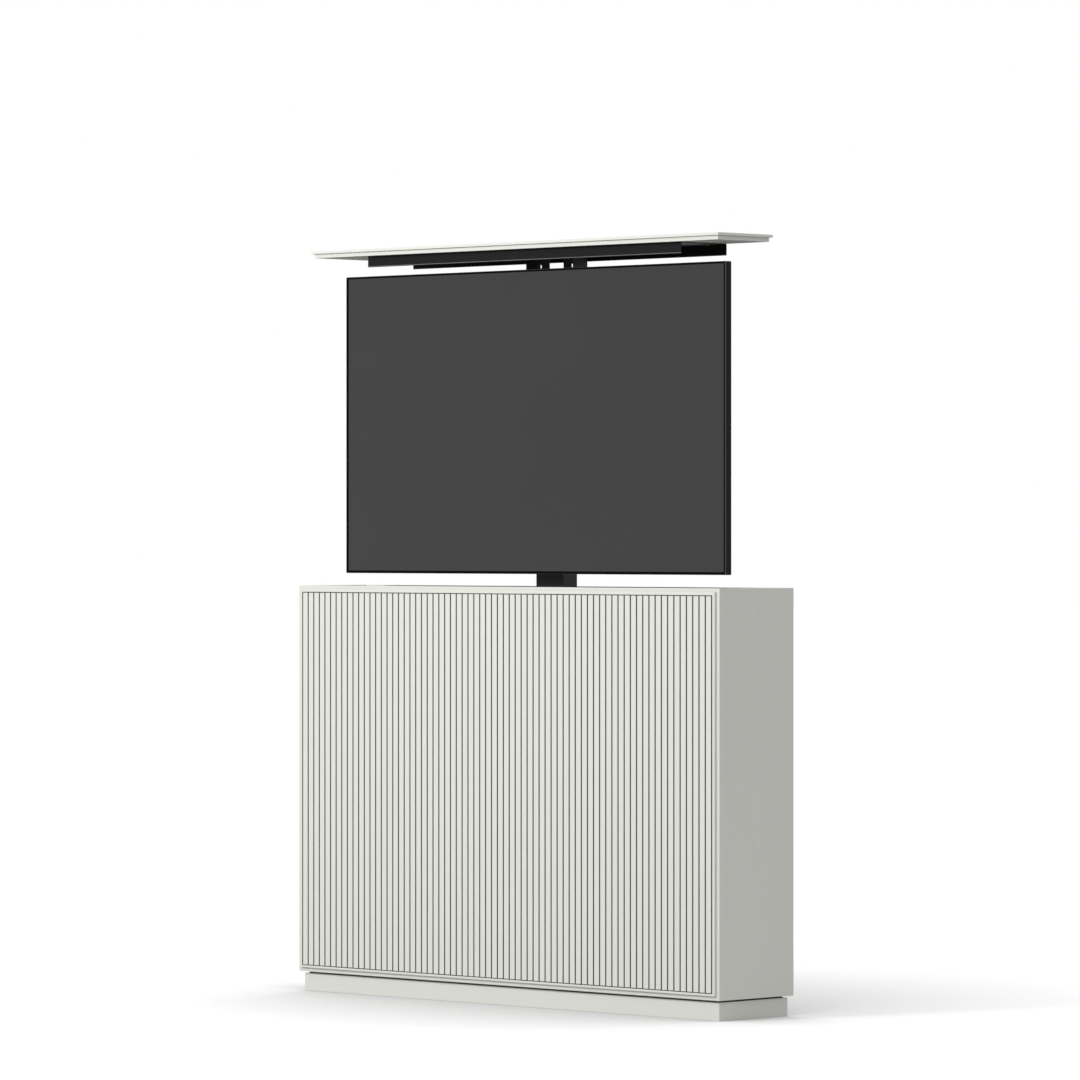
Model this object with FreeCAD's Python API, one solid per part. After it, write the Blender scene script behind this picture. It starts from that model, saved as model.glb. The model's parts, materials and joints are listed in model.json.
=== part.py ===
"""TV lift cabinet: a fluted cabinet whose telescopic column raises a television and the lid above it.

Frame: origin under the middle of the cabinet on the floor, +X to the right, +Y to the back, +Z up.
The pieces are drawn in the raised position. Heights that end in _low belong to the lowered
position, and a moving piece adds its own lift to them.
"""
import FreeCAD, Part
import os

os.makedirs("parts", exist_ok=True)

# ------------------------------------------------------------------ driving sizes, mm
# cabinet boards
plinth_height = 46.0
plinth_inset = 10.0
plinth_board = 18.0
plinth_reveal = 4.5
plinth_reveal_depth = 8.0
bottom_board = 18.0
side_board = 19.0
front_board = 16.0
back_board = 9.0
back_recess = 3.0
rear_top_width = 42.0
rear_top_board = 19.0
batten_side = 20.0

# fluted front
front_proud = 6.0
bead_side_margin = 9.5
bead_top_margin = 8.0
bead_bottom_margin = 10.0
bead_width = 7.5
bead_bottom_width = 5.0
bead_chamfer = 0.8
slat_count = 69
groove_width = 3.4
end_groove_width = 1.8
groove_depth = 4.0
slat_chamfer = 0.8

# lid
lid_thickness = 16.0
lid_lip_thickness = 6.4
lid_rebate = 6.0
lid_gap = 3.0
lid_edge_chamfer = 0.6
ledge_bearing = 4.5
ledge_height = 20.0
seat_clearance = 0.3

# television
tv_width = 1234.0
tv_height = 702.0
tv_clear_left = 69.0
tv_clear_right = 29.0
tv_clear_front = 55.0
tv_floor_gap = 134.7
tv_show_gap = 29.2
tv_edge_depth = 20.0
tv_bulge_depth = 24.0
tv_bulge_width = 720.0
tv_bulge_drop = 301.0
tv_bulge_height = 430.0
tv_bulge_radius = 12.0
tv_wall = 2.0
bezel_lip = 1.5
bezel_depth = 10.0
bezel_side = 6.0
bezel_top = 5.0
bezel_bottom = 6.5
screen_thickness = 6.5
screen_fit = 0.2
chassis_thickness = 2.0
chassis_margin = 24.0
boss_radius = 7.0
circuit_thickness = 1.6
circuit_standoff = 6.0
circuit_standoff_radius = 3.0
component_height = 13.0
power_board_width = 190.0
power_board_height = 160.0
main_board_width = 210.0
main_board_height = 150.0
circuit_side_offset = 165.0
circuit_low_margin = 90.0
circuit_edge = 8.0

# television bracket
vesa_spacing_x = 300.0
vesa_spacing_z = 200.0
vesa_plate_margin = 20.0
vesa_plate_thickness = 3.0
vesa_window_width = 110.0
vesa_window_height = 150.0
vesa_window_radius = 10.0
carrier_width = 120.0
carrier_thickness = 5.0
carrier_drop = 105.0
carrier_bolt_x = 42.0
carrier_bolt_z = 85.0
carrier_column_gap = 7.75

# column
mid_width = 88.0
mid_depth = 48.0
tube_corner = 2.5
tube_wall = 2.0
stage_gap = 1.5
glide_clearance = 0.3
glide_height = 60.0
collar_lip = 3.0
stage_step = 5.0
stage_overlap = 172.5
column_rear_gap = 16.25
base_plate_thickness = 6.0
base_plate_width = 240.0
base_plate_depth = 90.0
base_screw_margin = 14.0
gearbox_height = 56.0
gearbox_fit = 0.4
foot_clearance = 5.0
nut_height = 14.0
nut_stage_gap = 3.0
screw_radius = 7.0
screw_journal = 40.0
screw_end_gap = 15.0
hollow_screw_radius = 11.0
hollow_screw_bore = 7.75
running_clearance = 0.06
motor_radius = 26.0
motor_length = 108.0
motor_flange_radius = 31.0
motor_flange = 4.0
motor_neck_radius = 14.0
motor_cap = 12.0
motor_cap_step = 2.5
neck_clearance = 1.0

# head of the column, posts and lid tray
head_plate_thickness = 8.0
head_plate_width = 172.0
head_plate_depth = 52.0
carrier_flange = 4.0
post_inner_x = 23.65
post_outer_x = 77.5
post_depth = 45.2
post_web = 3.0
post_flange = 4.0
post_hole_radius = 4.5
post_hole_pitch = 18.0
post_hole_x = 51.5
post_hole_end = 11.5
post_bolt_y = 12.0
tray_length = 1018.0
tray_sheet = 2.0
tray_height = 26.4
tray_front_margin = 21.0
tray_back_margin = 9.0
tray_tv_gap = 19.4
tray_bend_radius = 3.0
tray_screw_margin = 30.0
tray_screw_columns = 4

# fasteners
bolt_radius = 3.0
bolt_head_radius = 5.0
bolt_head = 4.0
bolt_length = 16.0
bolt_socket_radius = 2.5
bolt_socket_depth = 2.0
bracket_bolt_length = 8.0
mount_screw_length = 20.0
wood_screw_radius = 2.0
wood_screw_head_radius = 4.0
wood_screw_head = 2.5
back_screw_length = 18.0
short_screw_length = 10.0
lag_radius = 3.5
lag_head_radius = 6.5
lag_head = 4.0
lag_length = 20.0
dowel_radius = 4.0
dowel_length = 30.0
dowel_in_side = 12.0
dowel_in_front = 10.0
dowel_end_margin = 70.0
dowels_per_bottom = 3
dowels_per_front = 5

# cable grommet and control box
grommet_from_left = 436.0
grommet_z = 104.0
grommet_bore = 26.0
grommet_wall = 3.0
grommet_flange_radius = 36.0
grommet_flange = 2.0
control_from_left = 286.0
control_z = 170.0
control_width = 190.0
control_height = 110.0
control_depth = 34.0
control_wall = 2.0
control_ear = 16.0
control_cover = 2.0

# ------------------------------------------------------------------ derived places, mm
outer_width = mid_width + 2 * (stage_gap + tube_wall)
outer_depth = mid_depth + 2 * (stage_gap + tube_wall)
inner_width = mid_width - 2 * (stage_gap + tube_wall)
inner_depth = mid_depth - 2 * (stage_gap + tube_wall)

lift_stack = tv_edge_depth + tv_bulge_depth + vesa_plate_thickness + carrier_thickness
well_depth = tv_clear_front + lift_stack + carrier_column_gap + outer_depth + column_rear_gap
body_depth = front_board + well_depth + rear_top_width
body_width = tv_clear_left + tv_width + tv_clear_right + 2 * side_board
half_width = body_width / 2
lift_x = (tv_clear_left - tv_clear_right) / 2

front_face = -(body_depth + front_proud) / 2
back_face = -front_face
border_face = front_face + front_proud
well_front = border_face + front_board
well_back = back_face - rear_top_width
well_side = half_width - side_board
back_outer = back_face - back_recess
back_inner = back_outer - back_board
grommet_x = grommet_from_left - well_side
control_x = control_from_left - well_side

floor_top = plinth_height + bottom_board
tv_bottom_low = floor_top + tv_floor_gap
tv_top_low = tv_bottom_low + tv_height
tray_bottom_low = tv_top_low + tray_tv_gap
tray_top_low = tray_bottom_low + tray_height
body_height = tray_top_low + lid_thickness
travel = body_height + tv_show_gap - tv_bottom_low
mid_lift = travel / 2

tv_front = well_front + tv_clear_front
tv_edge_back = tv_front + tv_edge_depth
tv_back = tv_edge_back + tv_bulge_depth
vesa_back = tv_back + vesa_plate_thickness
carrier_back = vesa_back + carrier_thickness
tv_left = lift_x - tv_width / 2
tv_right = lift_x + tv_width / 2
tv_bottom = tv_bottom_low + travel
tv_top = tv_top_low + travel
vesa_z = tv_bottom + tv_height / 2
bulge_bottom = vesa_z - tv_bulge_drop
bezel_back = tv_front + bezel_depth
screen_back = tv_front + bezel_lip + screen_thickness
chassis_back = screen_back + chassis_thickness
boss_back = tv_back - tv_wall
circuit_front = chassis_back + circuit_standoff

column_y = carrier_back + carrier_column_gap + outer_depth / 2
base_top = floor_top + base_plate_thickness
gearbox_top = base_top + gearbox_height
mid_bottom_low = gearbox_top + foot_clearance
outer_top = mid_bottom_low + mid_lift + stage_overlap
mid_top_low = outer_top + stage_step
inner_bottom_low = mid_bottom_low + nut_height + nut_stage_gap
inner_top_low = mid_top_low + stage_step
motor_z = base_top + gearbox_height / 2
gearbox_half_x = outer_width / 2 - tube_wall - gearbox_fit
gearbox_half_y = outer_depth / 2 - tube_wall - gearbox_fit

head_bottom = inner_top_low + travel
head_top = head_bottom + head_plate_thickness
carrier_top = head_top + carrier_flange
post_bottom = carrier_top
tray_top = tray_top_low + travel
tray_bottom = tray_bottom_low + travel
post_top = tray_top - tray_sheet
post_bolt_x = (post_inner_x + post_outer_x) / 2
tray_left = lift_x - tray_length / 2
tray_right = lift_x + tray_length / 2

lid_top = body_height + travel
lid_lip_bottom = lid_top - lid_lip_thickness
lid_side = well_side - lid_gap
lid_front = well_front + lid_gap
lid_back = well_back - lid_gap
tray_front = lid_front + tray_front_margin
tray_back = lid_back - tray_back_margin
ledge_top = body_height - lid_lip_thickness - seat_clearance
ledge_width = lid_gap + ledge_bearing

bead_outer_x = half_width - bead_side_margin
bead_inner_x = bead_outer_x - bead_width
bead_outer_low = plinth_height + bead_bottom_margin
bead_outer_high = body_height - bead_top_margin
bead_inner_low = bead_outer_low + bead_bottom_width
bead_inner_high = bead_outer_high - bead_width
slat_pitch = (2 * bead_inner_x - groove_width) / slat_count


# ------------------------------------------------------------------ helpers
def vec(x, y, z):
    return FreeCAD.Vector(x, y, z)


def block(x0, x1, y0, y1, z0, z1):
    """Box between two opposite corners."""
    return Part.makeBox(x1 - x0, y1 - y0, z1 - z0, vec(x0, y0, z0))


def rod(radius, start, direction, length):
    """Cylinder from a point along a direction."""
    return Part.makeCylinder(radius, length, vec(*start), vec(*direction))


def cut_all(shape, tools):
    """The shape with each tool cut away."""
    for tool in tools:
        shape = shape.cut(tool)
    return shape


def fuse_all(shapes):
    """One solid from touching or overlapping solids, with merged faces."""
    result = shapes[0]
    for shape in shapes[1:]:
        result = result.fuse(shape)
    return result.removeSplitter()


def spread(low, high, count):
    """Evenly spaced values from low to high."""
    return [low + (high - low) * i / (count - 1) for i in range(count)]


def vertical_edges(shape):
    """The straight edges that run along Z."""
    return [e for e in shape.Edges if abs(e.tangentAt(e.FirstParameter).z) > 0.999]


def column_bar(half_x, half_y, corner, z0, z1):
    """Upright bar on the column's axis, rounded where the corner radius comes to more than nothing."""
    bar = block(lift_x - half_x, lift_x + half_x, column_y - half_y, column_y + half_y, z0, z1)
    if corner > 0:
        bar = bar.makeFillet(corner, vertical_edges(bar))
    return bar


def column_ring(width, depth, inset_out, inset_in, z0, z1):
    """Upright ring between two outlines that stand inset_out and inset_in inside width x depth."""
    outer = column_bar(width / 2 - inset_out, depth / 2 - inset_out, tube_corner - inset_out, z0, z1)
    inner = column_bar(width / 2 - inset_in, depth / 2 - inset_in, tube_corner - inset_in, z0, z1)
    return outer.cut(inner)


def socket_bolt(seat, direction, length):
    """Cylinder-head bolt: the head stands off its seat, the shank runs along the direction."""
    back = [-d for d in direction]
    head_end = [s + b * bolt_head for s, b in zip(seat, back)]
    shank = rod(bolt_radius, seat, direction, length)
    head = rod(bolt_head_radius, seat, back, bolt_head)
    socket = rod(bolt_socket_radius, head_end, direction, bolt_socket_depth)
    return shank.fuse(head).cut(socket)


def headed_screw(seat, direction, shank_radius, length, head_radius, head):
    """Wood screw with a low domed head that stands off its seat."""
    back = vec(*[-d for d in direction])
    shank = rod(shank_radius, seat, direction, length)
    cap = Part.makeCone(head_radius, head_radius * 0.6, head, vec(*seat), back)
    return shank.fuse(cap)


def bolt_hole(seat, direction, length):
    return rod(bolt_radius, seat, direction, length)


def save(node, shape):
    shape.exportStep("parts/" + node + ".step")


# ------------------------------------------------------------------ fastener places
def bottom_dowel_seats():
    """Side, y and z of each dowel between the sides and the bottom board."""
    z = plinth_height + bottom_board / 2
    ys = spread(well_front + dowel_end_margin / 2, back_inner - dowel_end_margin / 2, dowels_per_bottom)
    return [(side, y, z) for side in (-1, 1) for y in ys]


def front_dowel_seats():
    """Places of the dowels between the front board and the sides' front edges."""
    x = half_width - side_board / 2
    zs = spread(plinth_height + dowel_end_margin, body_height - dowel_end_margin, dowels_per_front)
    return [(side * x, z) for side in (-1, 1) for z in zs]


def bottom_dowels():
    start = well_side - (dowel_length - dowel_in_side)
    return [rod(dowel_radius, (side * start, y, z), (side, 0, 0), dowel_length)
            for side, y, z in bottom_dowel_seats()]


def front_dowels():
    y = well_front - dowel_in_front
    return [rod(dowel_radius, (x, y, z), (0, 1, 0), dowel_length) for x, z in front_dowel_seats()]


def back_screw_seats():
    """Back panel screws: a row into the bottom board and a column into each batten."""
    low = [(x, plinth_height + bottom_board / 2) for x in spread(-well_side * 0.8, well_side * 0.8, 5)]
    batten_x = well_side - batten_side / 2
    heights = spread(floor_top + dowel_end_margin, body_height - 2 * dowel_end_margin, 4)
    return low + [(side * batten_x, z) for side in (-1, 1) for z in heights]


def back_screws():
    return [headed_screw((x, back_outer, z), (0, -1, 0), wood_screw_radius, back_screw_length,
                         wood_screw_head_radius, wood_screw_head) for x, z in back_screw_seats()]


def back_screw_holes():
    return [rod(wood_screw_radius, (x, back_outer, z), (0, -1, 0), back_screw_length)
            for x, z in back_screw_seats()]


def base_screw_seats():
    dx = base_plate_width / 2 - base_screw_margin
    dy = base_plate_depth / 2 - base_screw_margin
    return [(lift_x + sx * dx, column_y + sy * dy, base_top) for sx in (-1, 1) for sy in (-1, 1)]


def base_screw_holes():
    return [rod(lag_radius, seat, (0, 0, -1), lag_length) for seat in base_screw_seats()]


def post_bolt_seats(z):
    return [(lift_x + sx * post_bolt_x, column_y + sy * post_bolt_y, z) for sx in (-1, 1) for sy in (-1, 1)]


def post_bolt_holes():
    """Holes of the bolts at both ends of the posts."""
    foot_seats = post_bolt_seats(post_bottom + post_flange)
    top_seats = post_bolt_seats(post_top - post_flange)
    foot = [bolt_hole(seat, (0, 0, -1), bolt_length) for seat in foot_seats]
    top = [bolt_hole(seat, (0, 0, 1), bolt_length) for seat in top_seats]
    return foot + top


def bracket_bolt_seats():
    return [(lift_x + sx * carrier_bolt_x, carrier_back, vesa_z + sz * carrier_bolt_z)
            for sx in (-1, 1) for sz in (-1, 1)]


def bracket_bolt_holes():
    return [bolt_hole(seat, (0, -1, 0), bracket_bolt_length) for seat in bracket_bolt_seats()]


def mount_screw_seats():
    return [(lift_x + sx * vesa_spacing_x / 2, vesa_back, vesa_z + sz * vesa_spacing_z / 2)
            for sx in (-1, 1) for sz in (-1, 1)]


def mount_screw_holes():
    return [bolt_hole(seat, (0, -1, 0), mount_screw_length) for seat in mount_screw_seats()]


def tray_screw_seats():
    xs = spread(tray_left + tray_screw_margin, tray_right - tray_screw_margin, tray_screw_columns)
    ys = (tray_front + tray_screw_margin, tray_back - tray_screw_margin)
    return [(x, y, post_top) for x in xs for y in ys]


def tray_screw_holes():
    return [rod(wood_screw_radius, seat, (0, 0, 1), short_screw_length) for seat in tray_screw_seats()]


def control_screw_seats():
    half = (control_width + control_ear) / 2
    return [(control_x + side * half, back_inner - control_wall, control_z) for side in (-1, 1)]


def control_screw_holes():
    return [rod(wood_screw_radius, seat, (0, 1, 0), short_screw_length) for seat in control_screw_seats()]


# ------------------------------------------------------------------ plinth and carcass
def make_plinth():
    """Four boards on edge, with a narrow rebate round the top that parts them from the body."""
    x1 = half_width - plinth_inset
    x0 = x1 - plinth_board
    y0 = border_face + plinth_inset
    y1 = back_face - plinth_inset
    reveal_low = plinth_height - plinth_reveal
    inset = plinth_reveal_depth
    core = block(-x1 + inset, x1 - inset, y0 + inset, y1 - inset, reveal_low, plinth_height)
    reveal = block(-x1, x1, y0, y1, reveal_low, plinth_height).cut(core)
    front_y = y0 + plinth_board
    back_y = y1 - plinth_board
    save("plinth_front", block(-x1, x1, y0, front_y, 0, plinth_height).cut(reveal))
    save("plinth_back", block(-x1, x1, back_y, y1, 0, plinth_height).cut(reveal))
    save("plinth_left", block(-x1, -x0, front_y, back_y, 0, plinth_height).cut(reveal))
    save("plinth_right", block(x0, x1, front_y, back_y, 0, plinth_height).cut(reveal))


def make_carcass():
    dowel_holes = bottom_dowels() + front_dowels()
    bottom = block(-well_side, well_side, well_front, back_inner, plinth_height, floor_top)
    save("bottom_board", cut_all(bottom, bottom_dowels() + back_screw_holes() + base_screw_holes()))
    for name, side in (("left_side", -1), ("right_side", 1)):
        x0, x1 = sorted((side * well_side, side * half_width))
        board = block(x0, x1, well_front, back_face, plinth_height, body_height)
        save(name, cut_all(board, dowel_holes))
    front = block(-half_width, half_width, border_face, well_front, plinth_height, body_height)
    save("front_board", cut_all(front, front_dowels()))
    save("carcass_dowels", Part.makeCompound(dowel_holes))


def make_back():
    top_z = body_height - rear_top_board
    top = block(-well_side, well_side, well_back, back_face, top_z, body_height)
    save("rear_top_board", top)
    panel = block(-well_side, well_side, back_inner, back_outer, plinth_height, top_z)
    grommet_hole = rod(grommet_bore + grommet_wall, (grommet_x, back_inner, grommet_z), (0, 1, 0),
                       back_board)
    save("back_panel", cut_all(panel, back_screw_holes() + control_screw_holes() + [grommet_hole]))
    for name, side in (("batten_left", -1), ("batten_right", 1)):
        x0, x1 = sorted((side * well_side, side * (well_side - batten_side)))
        batten = block(x0, x1, back_inner - batten_side, back_inner, floor_top, top_z)
        save(name, cut_all(batten, back_screw_holes()))
    save("back_panel_screws", Part.makeCompound(back_screws()))


def make_ledges():
    """Strips under the opening's edge that the lid's lip comes down on."""
    z0 = ledge_top - ledge_height
    front_y = well_front + ledge_width
    rear_y = well_back - ledge_width
    side_x = well_side - ledge_width
    save("ledge_front", block(-well_side, well_side, well_front, front_y, z0, ledge_top))
    save("ledge_rear", block(-well_side, well_side, rear_y, well_back, z0, ledge_top))
    save("ledge_left", block(-well_side, -side_x, front_y, rear_y, z0, ledge_top))
    save("ledge_right", block(side_x, well_side, front_y, rear_y, z0, ledge_top))


# ------------------------------------------------------------------ fluted front
def make_fluted_panel():
    """Board with square grooves between flat slats, cut from a profile that runs up the height."""
    floor_y = front_face + groove_depth
    shoulder_y = front_face + slat_chamfer
    points = [(-bead_inner_x, border_face), (-bead_inner_x, floor_y)]
    for i in range(slat_count):
        left = -bead_inner_x + groove_width + i * slat_pitch
        right = left + slat_pitch - groove_width
        points += [(left, floor_y), (left, shoulder_y), (left + slat_chamfer, front_face)]
        points += [(right - slat_chamfer, front_face), (right, shoulder_y), (right, floor_y)]
    points += [(bead_inner_x, floor_y), (bead_inner_x, border_face)]
    corners = [vec(x, y, bead_inner_low) for x, y in points]
    outline = Part.makePolygon(corners + corners[:1])
    panel = Part.Face(outline).extrude(vec(0, 0, bead_inner_high - bead_inner_low))
    for z in (bead_inner_low, bead_inner_high - end_groove_width):
        panel = panel.cut(block(-bead_inner_x, bead_inner_x, front_face, floor_y, z, z + end_groove_width))
    save("fluted_panel", panel)


def make_bead(name, ends):
    """One mitred strip of the bead frame from its four corners (x, z), outer pair first."""
    corners = [vec(x, border_face, z) for x, z in ends]
    outline = Part.makePolygon(corners + corners[:1])
    strip = Part.Face(outline).extrude(vec(0, -front_proud, 0))
    long_edges = [e for e in strip.Edges
                  if abs(e.CenterOfMass.y - front_face) < 0.001 and e.Length > 4 * bead_width]
    save(name, strip.makeChamfer(bead_chamfer, long_edges))


def make_bead_frame():
    xo, xi = bead_outer_x, bead_inner_x
    lo, li, hi, ho = bead_outer_low, bead_inner_low, bead_inner_high, bead_outer_high
    make_bead("bead_top", [(-xo, ho), (xo, ho), (xi, hi), (-xi, hi)])
    make_bead("bead_bottom", [(-xo, lo), (xo, lo), (xi, li), (-xi, li)])
    make_bead("bead_left", [(-xo, lo), (-xo, ho), (-xi, hi), (-xi, li)])
    make_bead("bead_right", [(xo, lo), (xo, ho), (xi, hi), (xi, li)])


# ------------------------------------------------------------------ grommet and control box
def make_grommet():
    flange = rod(grommet_flange_radius, (grommet_x, back_outer, grommet_z), (0, 1, 0), grommet_flange)
    barrel = rod(grommet_bore + grommet_wall, (grommet_x, back_inner, grommet_z), (0, 1, 0), back_board)
    bore = rod(grommet_bore, (grommet_x, back_inner, grommet_z), (0, 1, 0), back_board + grommet_flange)
    save("cable_grommet", fuse_all([flange, barrel]).cut(bore))


def control_posts():
    """Places of the board's corner posts inside the control box."""
    dx = control_width / 2 - 2 * control_wall - circuit_edge
    dz = control_height / 2 - 2 * control_wall - circuit_edge
    return [(control_x + sx * dx, control_z + sz * dz) for sx in (-1, 1) for sz in (-1, 1)]


def make_control_box():
    x0, x1 = control_x - control_width / 2, control_x + control_width / 2
    z0, z1 = control_z - control_height / 2, control_z + control_height / 2
    y0, y1 = back_inner - control_depth, back_inner
    wall = control_wall
    hollow = block(x0 + wall, x1 - wall, y0, y1 - wall, z0 + wall, z1 - wall)
    shell = block(x0, x1, y0, y1, z0, z1).cut(hollow)
    ears = block(x0 - control_ear, x1 + control_ear, y1 - wall, y1,
                 control_z - control_ear, control_z + control_ear)
    posts = [rod(circuit_standoff_radius, (x, y1 - wall, z), (0, -1, 0), circuit_standoff)
             for x, z in control_posts()]
    box = fuse_all([shell, ears] + posts)
    save("control_box", cut_all(box, control_screw_holes()))
    save("control_cover", block(x0, x1, y0 - control_cover, y0, z0, z1))
    board_back = y1 - wall - circuit_standoff
    inset = 2 * wall
    board = block(x0 + inset, x1 - inset, board_back - circuit_thickness, board_back, z0 + inset, z1 - inset)
    relay = block(x0 + 3 * inset, control_x, board_back - component_height, board_back - circuit_thickness,
                  z0 + 3 * inset, control_z)
    save("control_board", fuse_all([board, relay]))
    screws = [headed_screw(seat, (0, 1, 0), wood_screw_radius, short_screw_length,
                           wood_screw_head_radius, wood_screw_head) for seat in control_screw_seats()]
    save("control_box_screws", Part.makeCompound(screws))


# ------------------------------------------------------------------ column
def make_column_base():
    half_x, half_y = base_plate_width / 2, base_plate_depth / 2
    plate = block(lift_x - half_x, lift_x + half_x, column_y - half_y, column_y + half_y,
                  floor_top, base_top)
    save("column_base_plate", cut_all(plate, base_screw_holes()))
    screws = [headed_screw(seat, (0, 0, -1), lag_radius, lag_length, lag_head_radius, lag_head)
              for seat in base_screw_seats()]
    save("base_plate_screws", Part.makeCompound(screws))


def make_drive():
    """Gearbox inside the column's foot, and the motor that stands out of the tube's right wall."""
    box = column_bar(gearbox_half_x, gearbox_half_y, tube_corner, base_top, gearbox_top)
    journal = rod(screw_radius + running_clearance, (lift_x, column_y, gearbox_top - screw_journal),
                  (0, 0, 1), screw_journal)
    save("gearbox", box.cut(journal))
    neck_start = lift_x + gearbox_half_x
    flange_start = lift_x + outer_width / 2
    body_start = flange_start + motor_flange
    cap_start = body_start + motor_length
    pieces = [rod(motor_neck_radius, (neck_start, column_y, motor_z), (1, 0, 0), body_start - neck_start),
              rod(motor_flange_radius, (flange_start, column_y, motor_z), (1, 0, 0), motor_flange),
              rod(motor_radius, (body_start, column_y, motor_z), (1, 0, 0), motor_length),
              rod(motor_radius - motor_cap_step, (cap_start, column_y, motor_z), (1, 0, 0), motor_cap)]
    below_plate = block(flange_start, cap_start, column_y - base_plate_depth, column_y + base_plate_depth,
                        floor_top, base_top)
    save("motor", fuse_all(pieces).cut(below_plate))
    screw_start = gearbox_top - screw_journal
    save("lower_screw", rod(screw_radius, (lift_x, column_y, screw_start), (0, 0, 1),
                            outer_top - screw_end_gap - screw_start))


def make_outer_stage():
    tube = column_ring(outer_width, outer_depth, 0, tube_wall, base_top, outer_top)
    neck_hole = rod(motor_neck_radius + neck_clearance, (lift_x, column_y, motor_z), (1, 0, 0), outer_width)
    save("outer_tube", tube.cut(neck_hole))
    save("outer_collar", make_collar(outer_width, outer_depth, outer_top))


def make_collar(width, depth, tube_top):
    """Plastic guide in a tube's mouth: a lip on the tube's end and a skirt inside its wall."""
    opening = tube_wall + stage_gap - glide_clearance
    lip = column_ring(width, depth, 0, opening, tube_top, tube_top + collar_lip)
    skirt = column_ring(width, depth, tube_wall, opening, tube_top - glide_height, tube_top)
    return fuse_all([lip, skirt])


def make_foot_glide(width, depth, tube_bottom):
    """Plastic sleeve round a tube's foot, which slides inside the tube outside it."""
    return column_ring(width, depth, glide_clearance - stage_gap, 0,
                       tube_bottom, tube_bottom + glide_height)


def make_nut(half_x, half_y, bottom, bore):
    """Block across a tube's foot with the screw's bore through it."""
    body = column_bar(half_x - tube_wall, half_y - tube_wall, tube_corner - tube_wall,
                      bottom, bottom + nut_height)
    return body.cut(rod(bore + running_clearance, (lift_x, column_y, bottom), (0, 0, 1), nut_height))


def make_mid_stage():
    bottom = mid_bottom_low + mid_lift
    top = mid_top_low + mid_lift
    save("mid_tube", column_ring(mid_width, mid_depth, 0, tube_wall, bottom, top))
    save("mid_collar", make_collar(mid_width, mid_depth, top))
    save("mid_foot_glide", make_foot_glide(mid_width, mid_depth, bottom))
    save("mid_nut", make_nut(mid_width / 2, mid_depth / 2, bottom, screw_radius))
    start = bottom + nut_height + seat_clearance
    length = top - screw_end_gap - start
    hollow = rod(hollow_screw_radius, (lift_x, column_y, start), (0, 0, 1), length)
    save("upper_screw", hollow.cut(rod(hollow_screw_bore, (lift_x, column_y, start), (0, 0, 1), length)))


def make_inner_stage():
    bottom = inner_bottom_low + travel
    save("inner_tube", column_ring(inner_width, inner_depth, 0, tube_wall, bottom, head_bottom))
    save("inner_foot_glide", make_foot_glide(inner_width, inner_depth, bottom))
    save("inner_nut", make_nut(inner_width / 2, inner_depth / 2, bottom, hollow_screw_radius))


# ------------------------------------------------------------------ head, bracket and posts
def make_head():
    half = head_plate_width / 2
    plate = block(lift_x - half, lift_x + half, carrier_back, column_y + head_plate_depth / 2,
                  head_bottom, head_top)
    save("head_plate", cut_all(plate, post_bolt_holes()))


def make_carrier():
    """Angle bracket: a plate in front of the column, folded back over the head plate."""
    half = carrier_width / 2
    plate = block(lift_x - half, lift_x + half, vesa_back, carrier_back, vesa_z - carrier_drop, head_top)
    flange_half = head_plate_width / 2
    flange = block(lift_x - flange_half, lift_x + flange_half, vesa_back, column_y + post_depth / 2,
                   head_top, carrier_top)
    save("carrier_plate", cut_all(fuse_all([plate, flange]), post_bolt_holes() + bracket_bolt_holes()))


def make_vesa_plate():
    half_x = vesa_spacing_x / 2 + vesa_plate_margin
    half_z = vesa_spacing_z / 2 + vesa_plate_margin
    plate = block(lift_x - half_x, lift_x + half_x, tv_back, vesa_back, vesa_z - half_z, vesa_z + half_z)
    windows = []
    for side in (-1, 1):
        centre = lift_x + side * (half_x + carrier_width / 2) / 2
        free = half_x - carrier_width / 2
        half_w = min(vesa_window_width, free) / 2 - vesa_plate_margin
        half_h = vesa_window_height / 2
        window = block(centre - half_w, centre + half_w, tv_back, vesa_back,
                       vesa_z - half_h, vesa_z + half_h)
        edges = [e for e in window.Edges if abs(e.tangentAt(e.FirstParameter).y) > 0.999]
        windows.append(window.makeFillet(vesa_window_radius, edges))
    save("vesa_plate", cut_all(plate, windows + bracket_bolt_holes() + mount_screw_holes()))


def make_post(name, side):
    """T-shaped post: a drilled web across the cabinet and a flange on its outer edge."""
    def span(a, b):
        return sorted((lift_x + side * a, lift_x + side * b))
    y0, y1 = column_y - post_depth / 2, column_y + post_depth / 2
    web_x = span(post_inner_x, post_outer_x)
    edge_x = span(post_outer_x - post_web, post_outer_x)
    web = block(*web_x, column_y - post_web / 2, column_y + post_web / 2, post_bottom, post_top)
    edge = block(*edge_x, y0, y1, post_bottom, post_top)
    foot = block(*web_x, y0, y1, post_bottom, post_bottom + post_flange)
    cap = block(*web_x, y0, y1, post_top - post_flange, post_top)
    post = fuse_all([web, edge, foot, cap])
    first = post_top - post_flange - post_hole_end
    room = first - (post_bottom + post_flange + post_hole_end)
    for i in range(int(room / post_hole_pitch) + 1):
        centre = (lift_x + side * post_hole_x, y0, first - i * post_hole_pitch)
        post = post.cut(rod(post_hole_radius, centre, (0, 1, 0), post_depth))
    save(name, cut_all(post, post_bolt_holes()))


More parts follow.
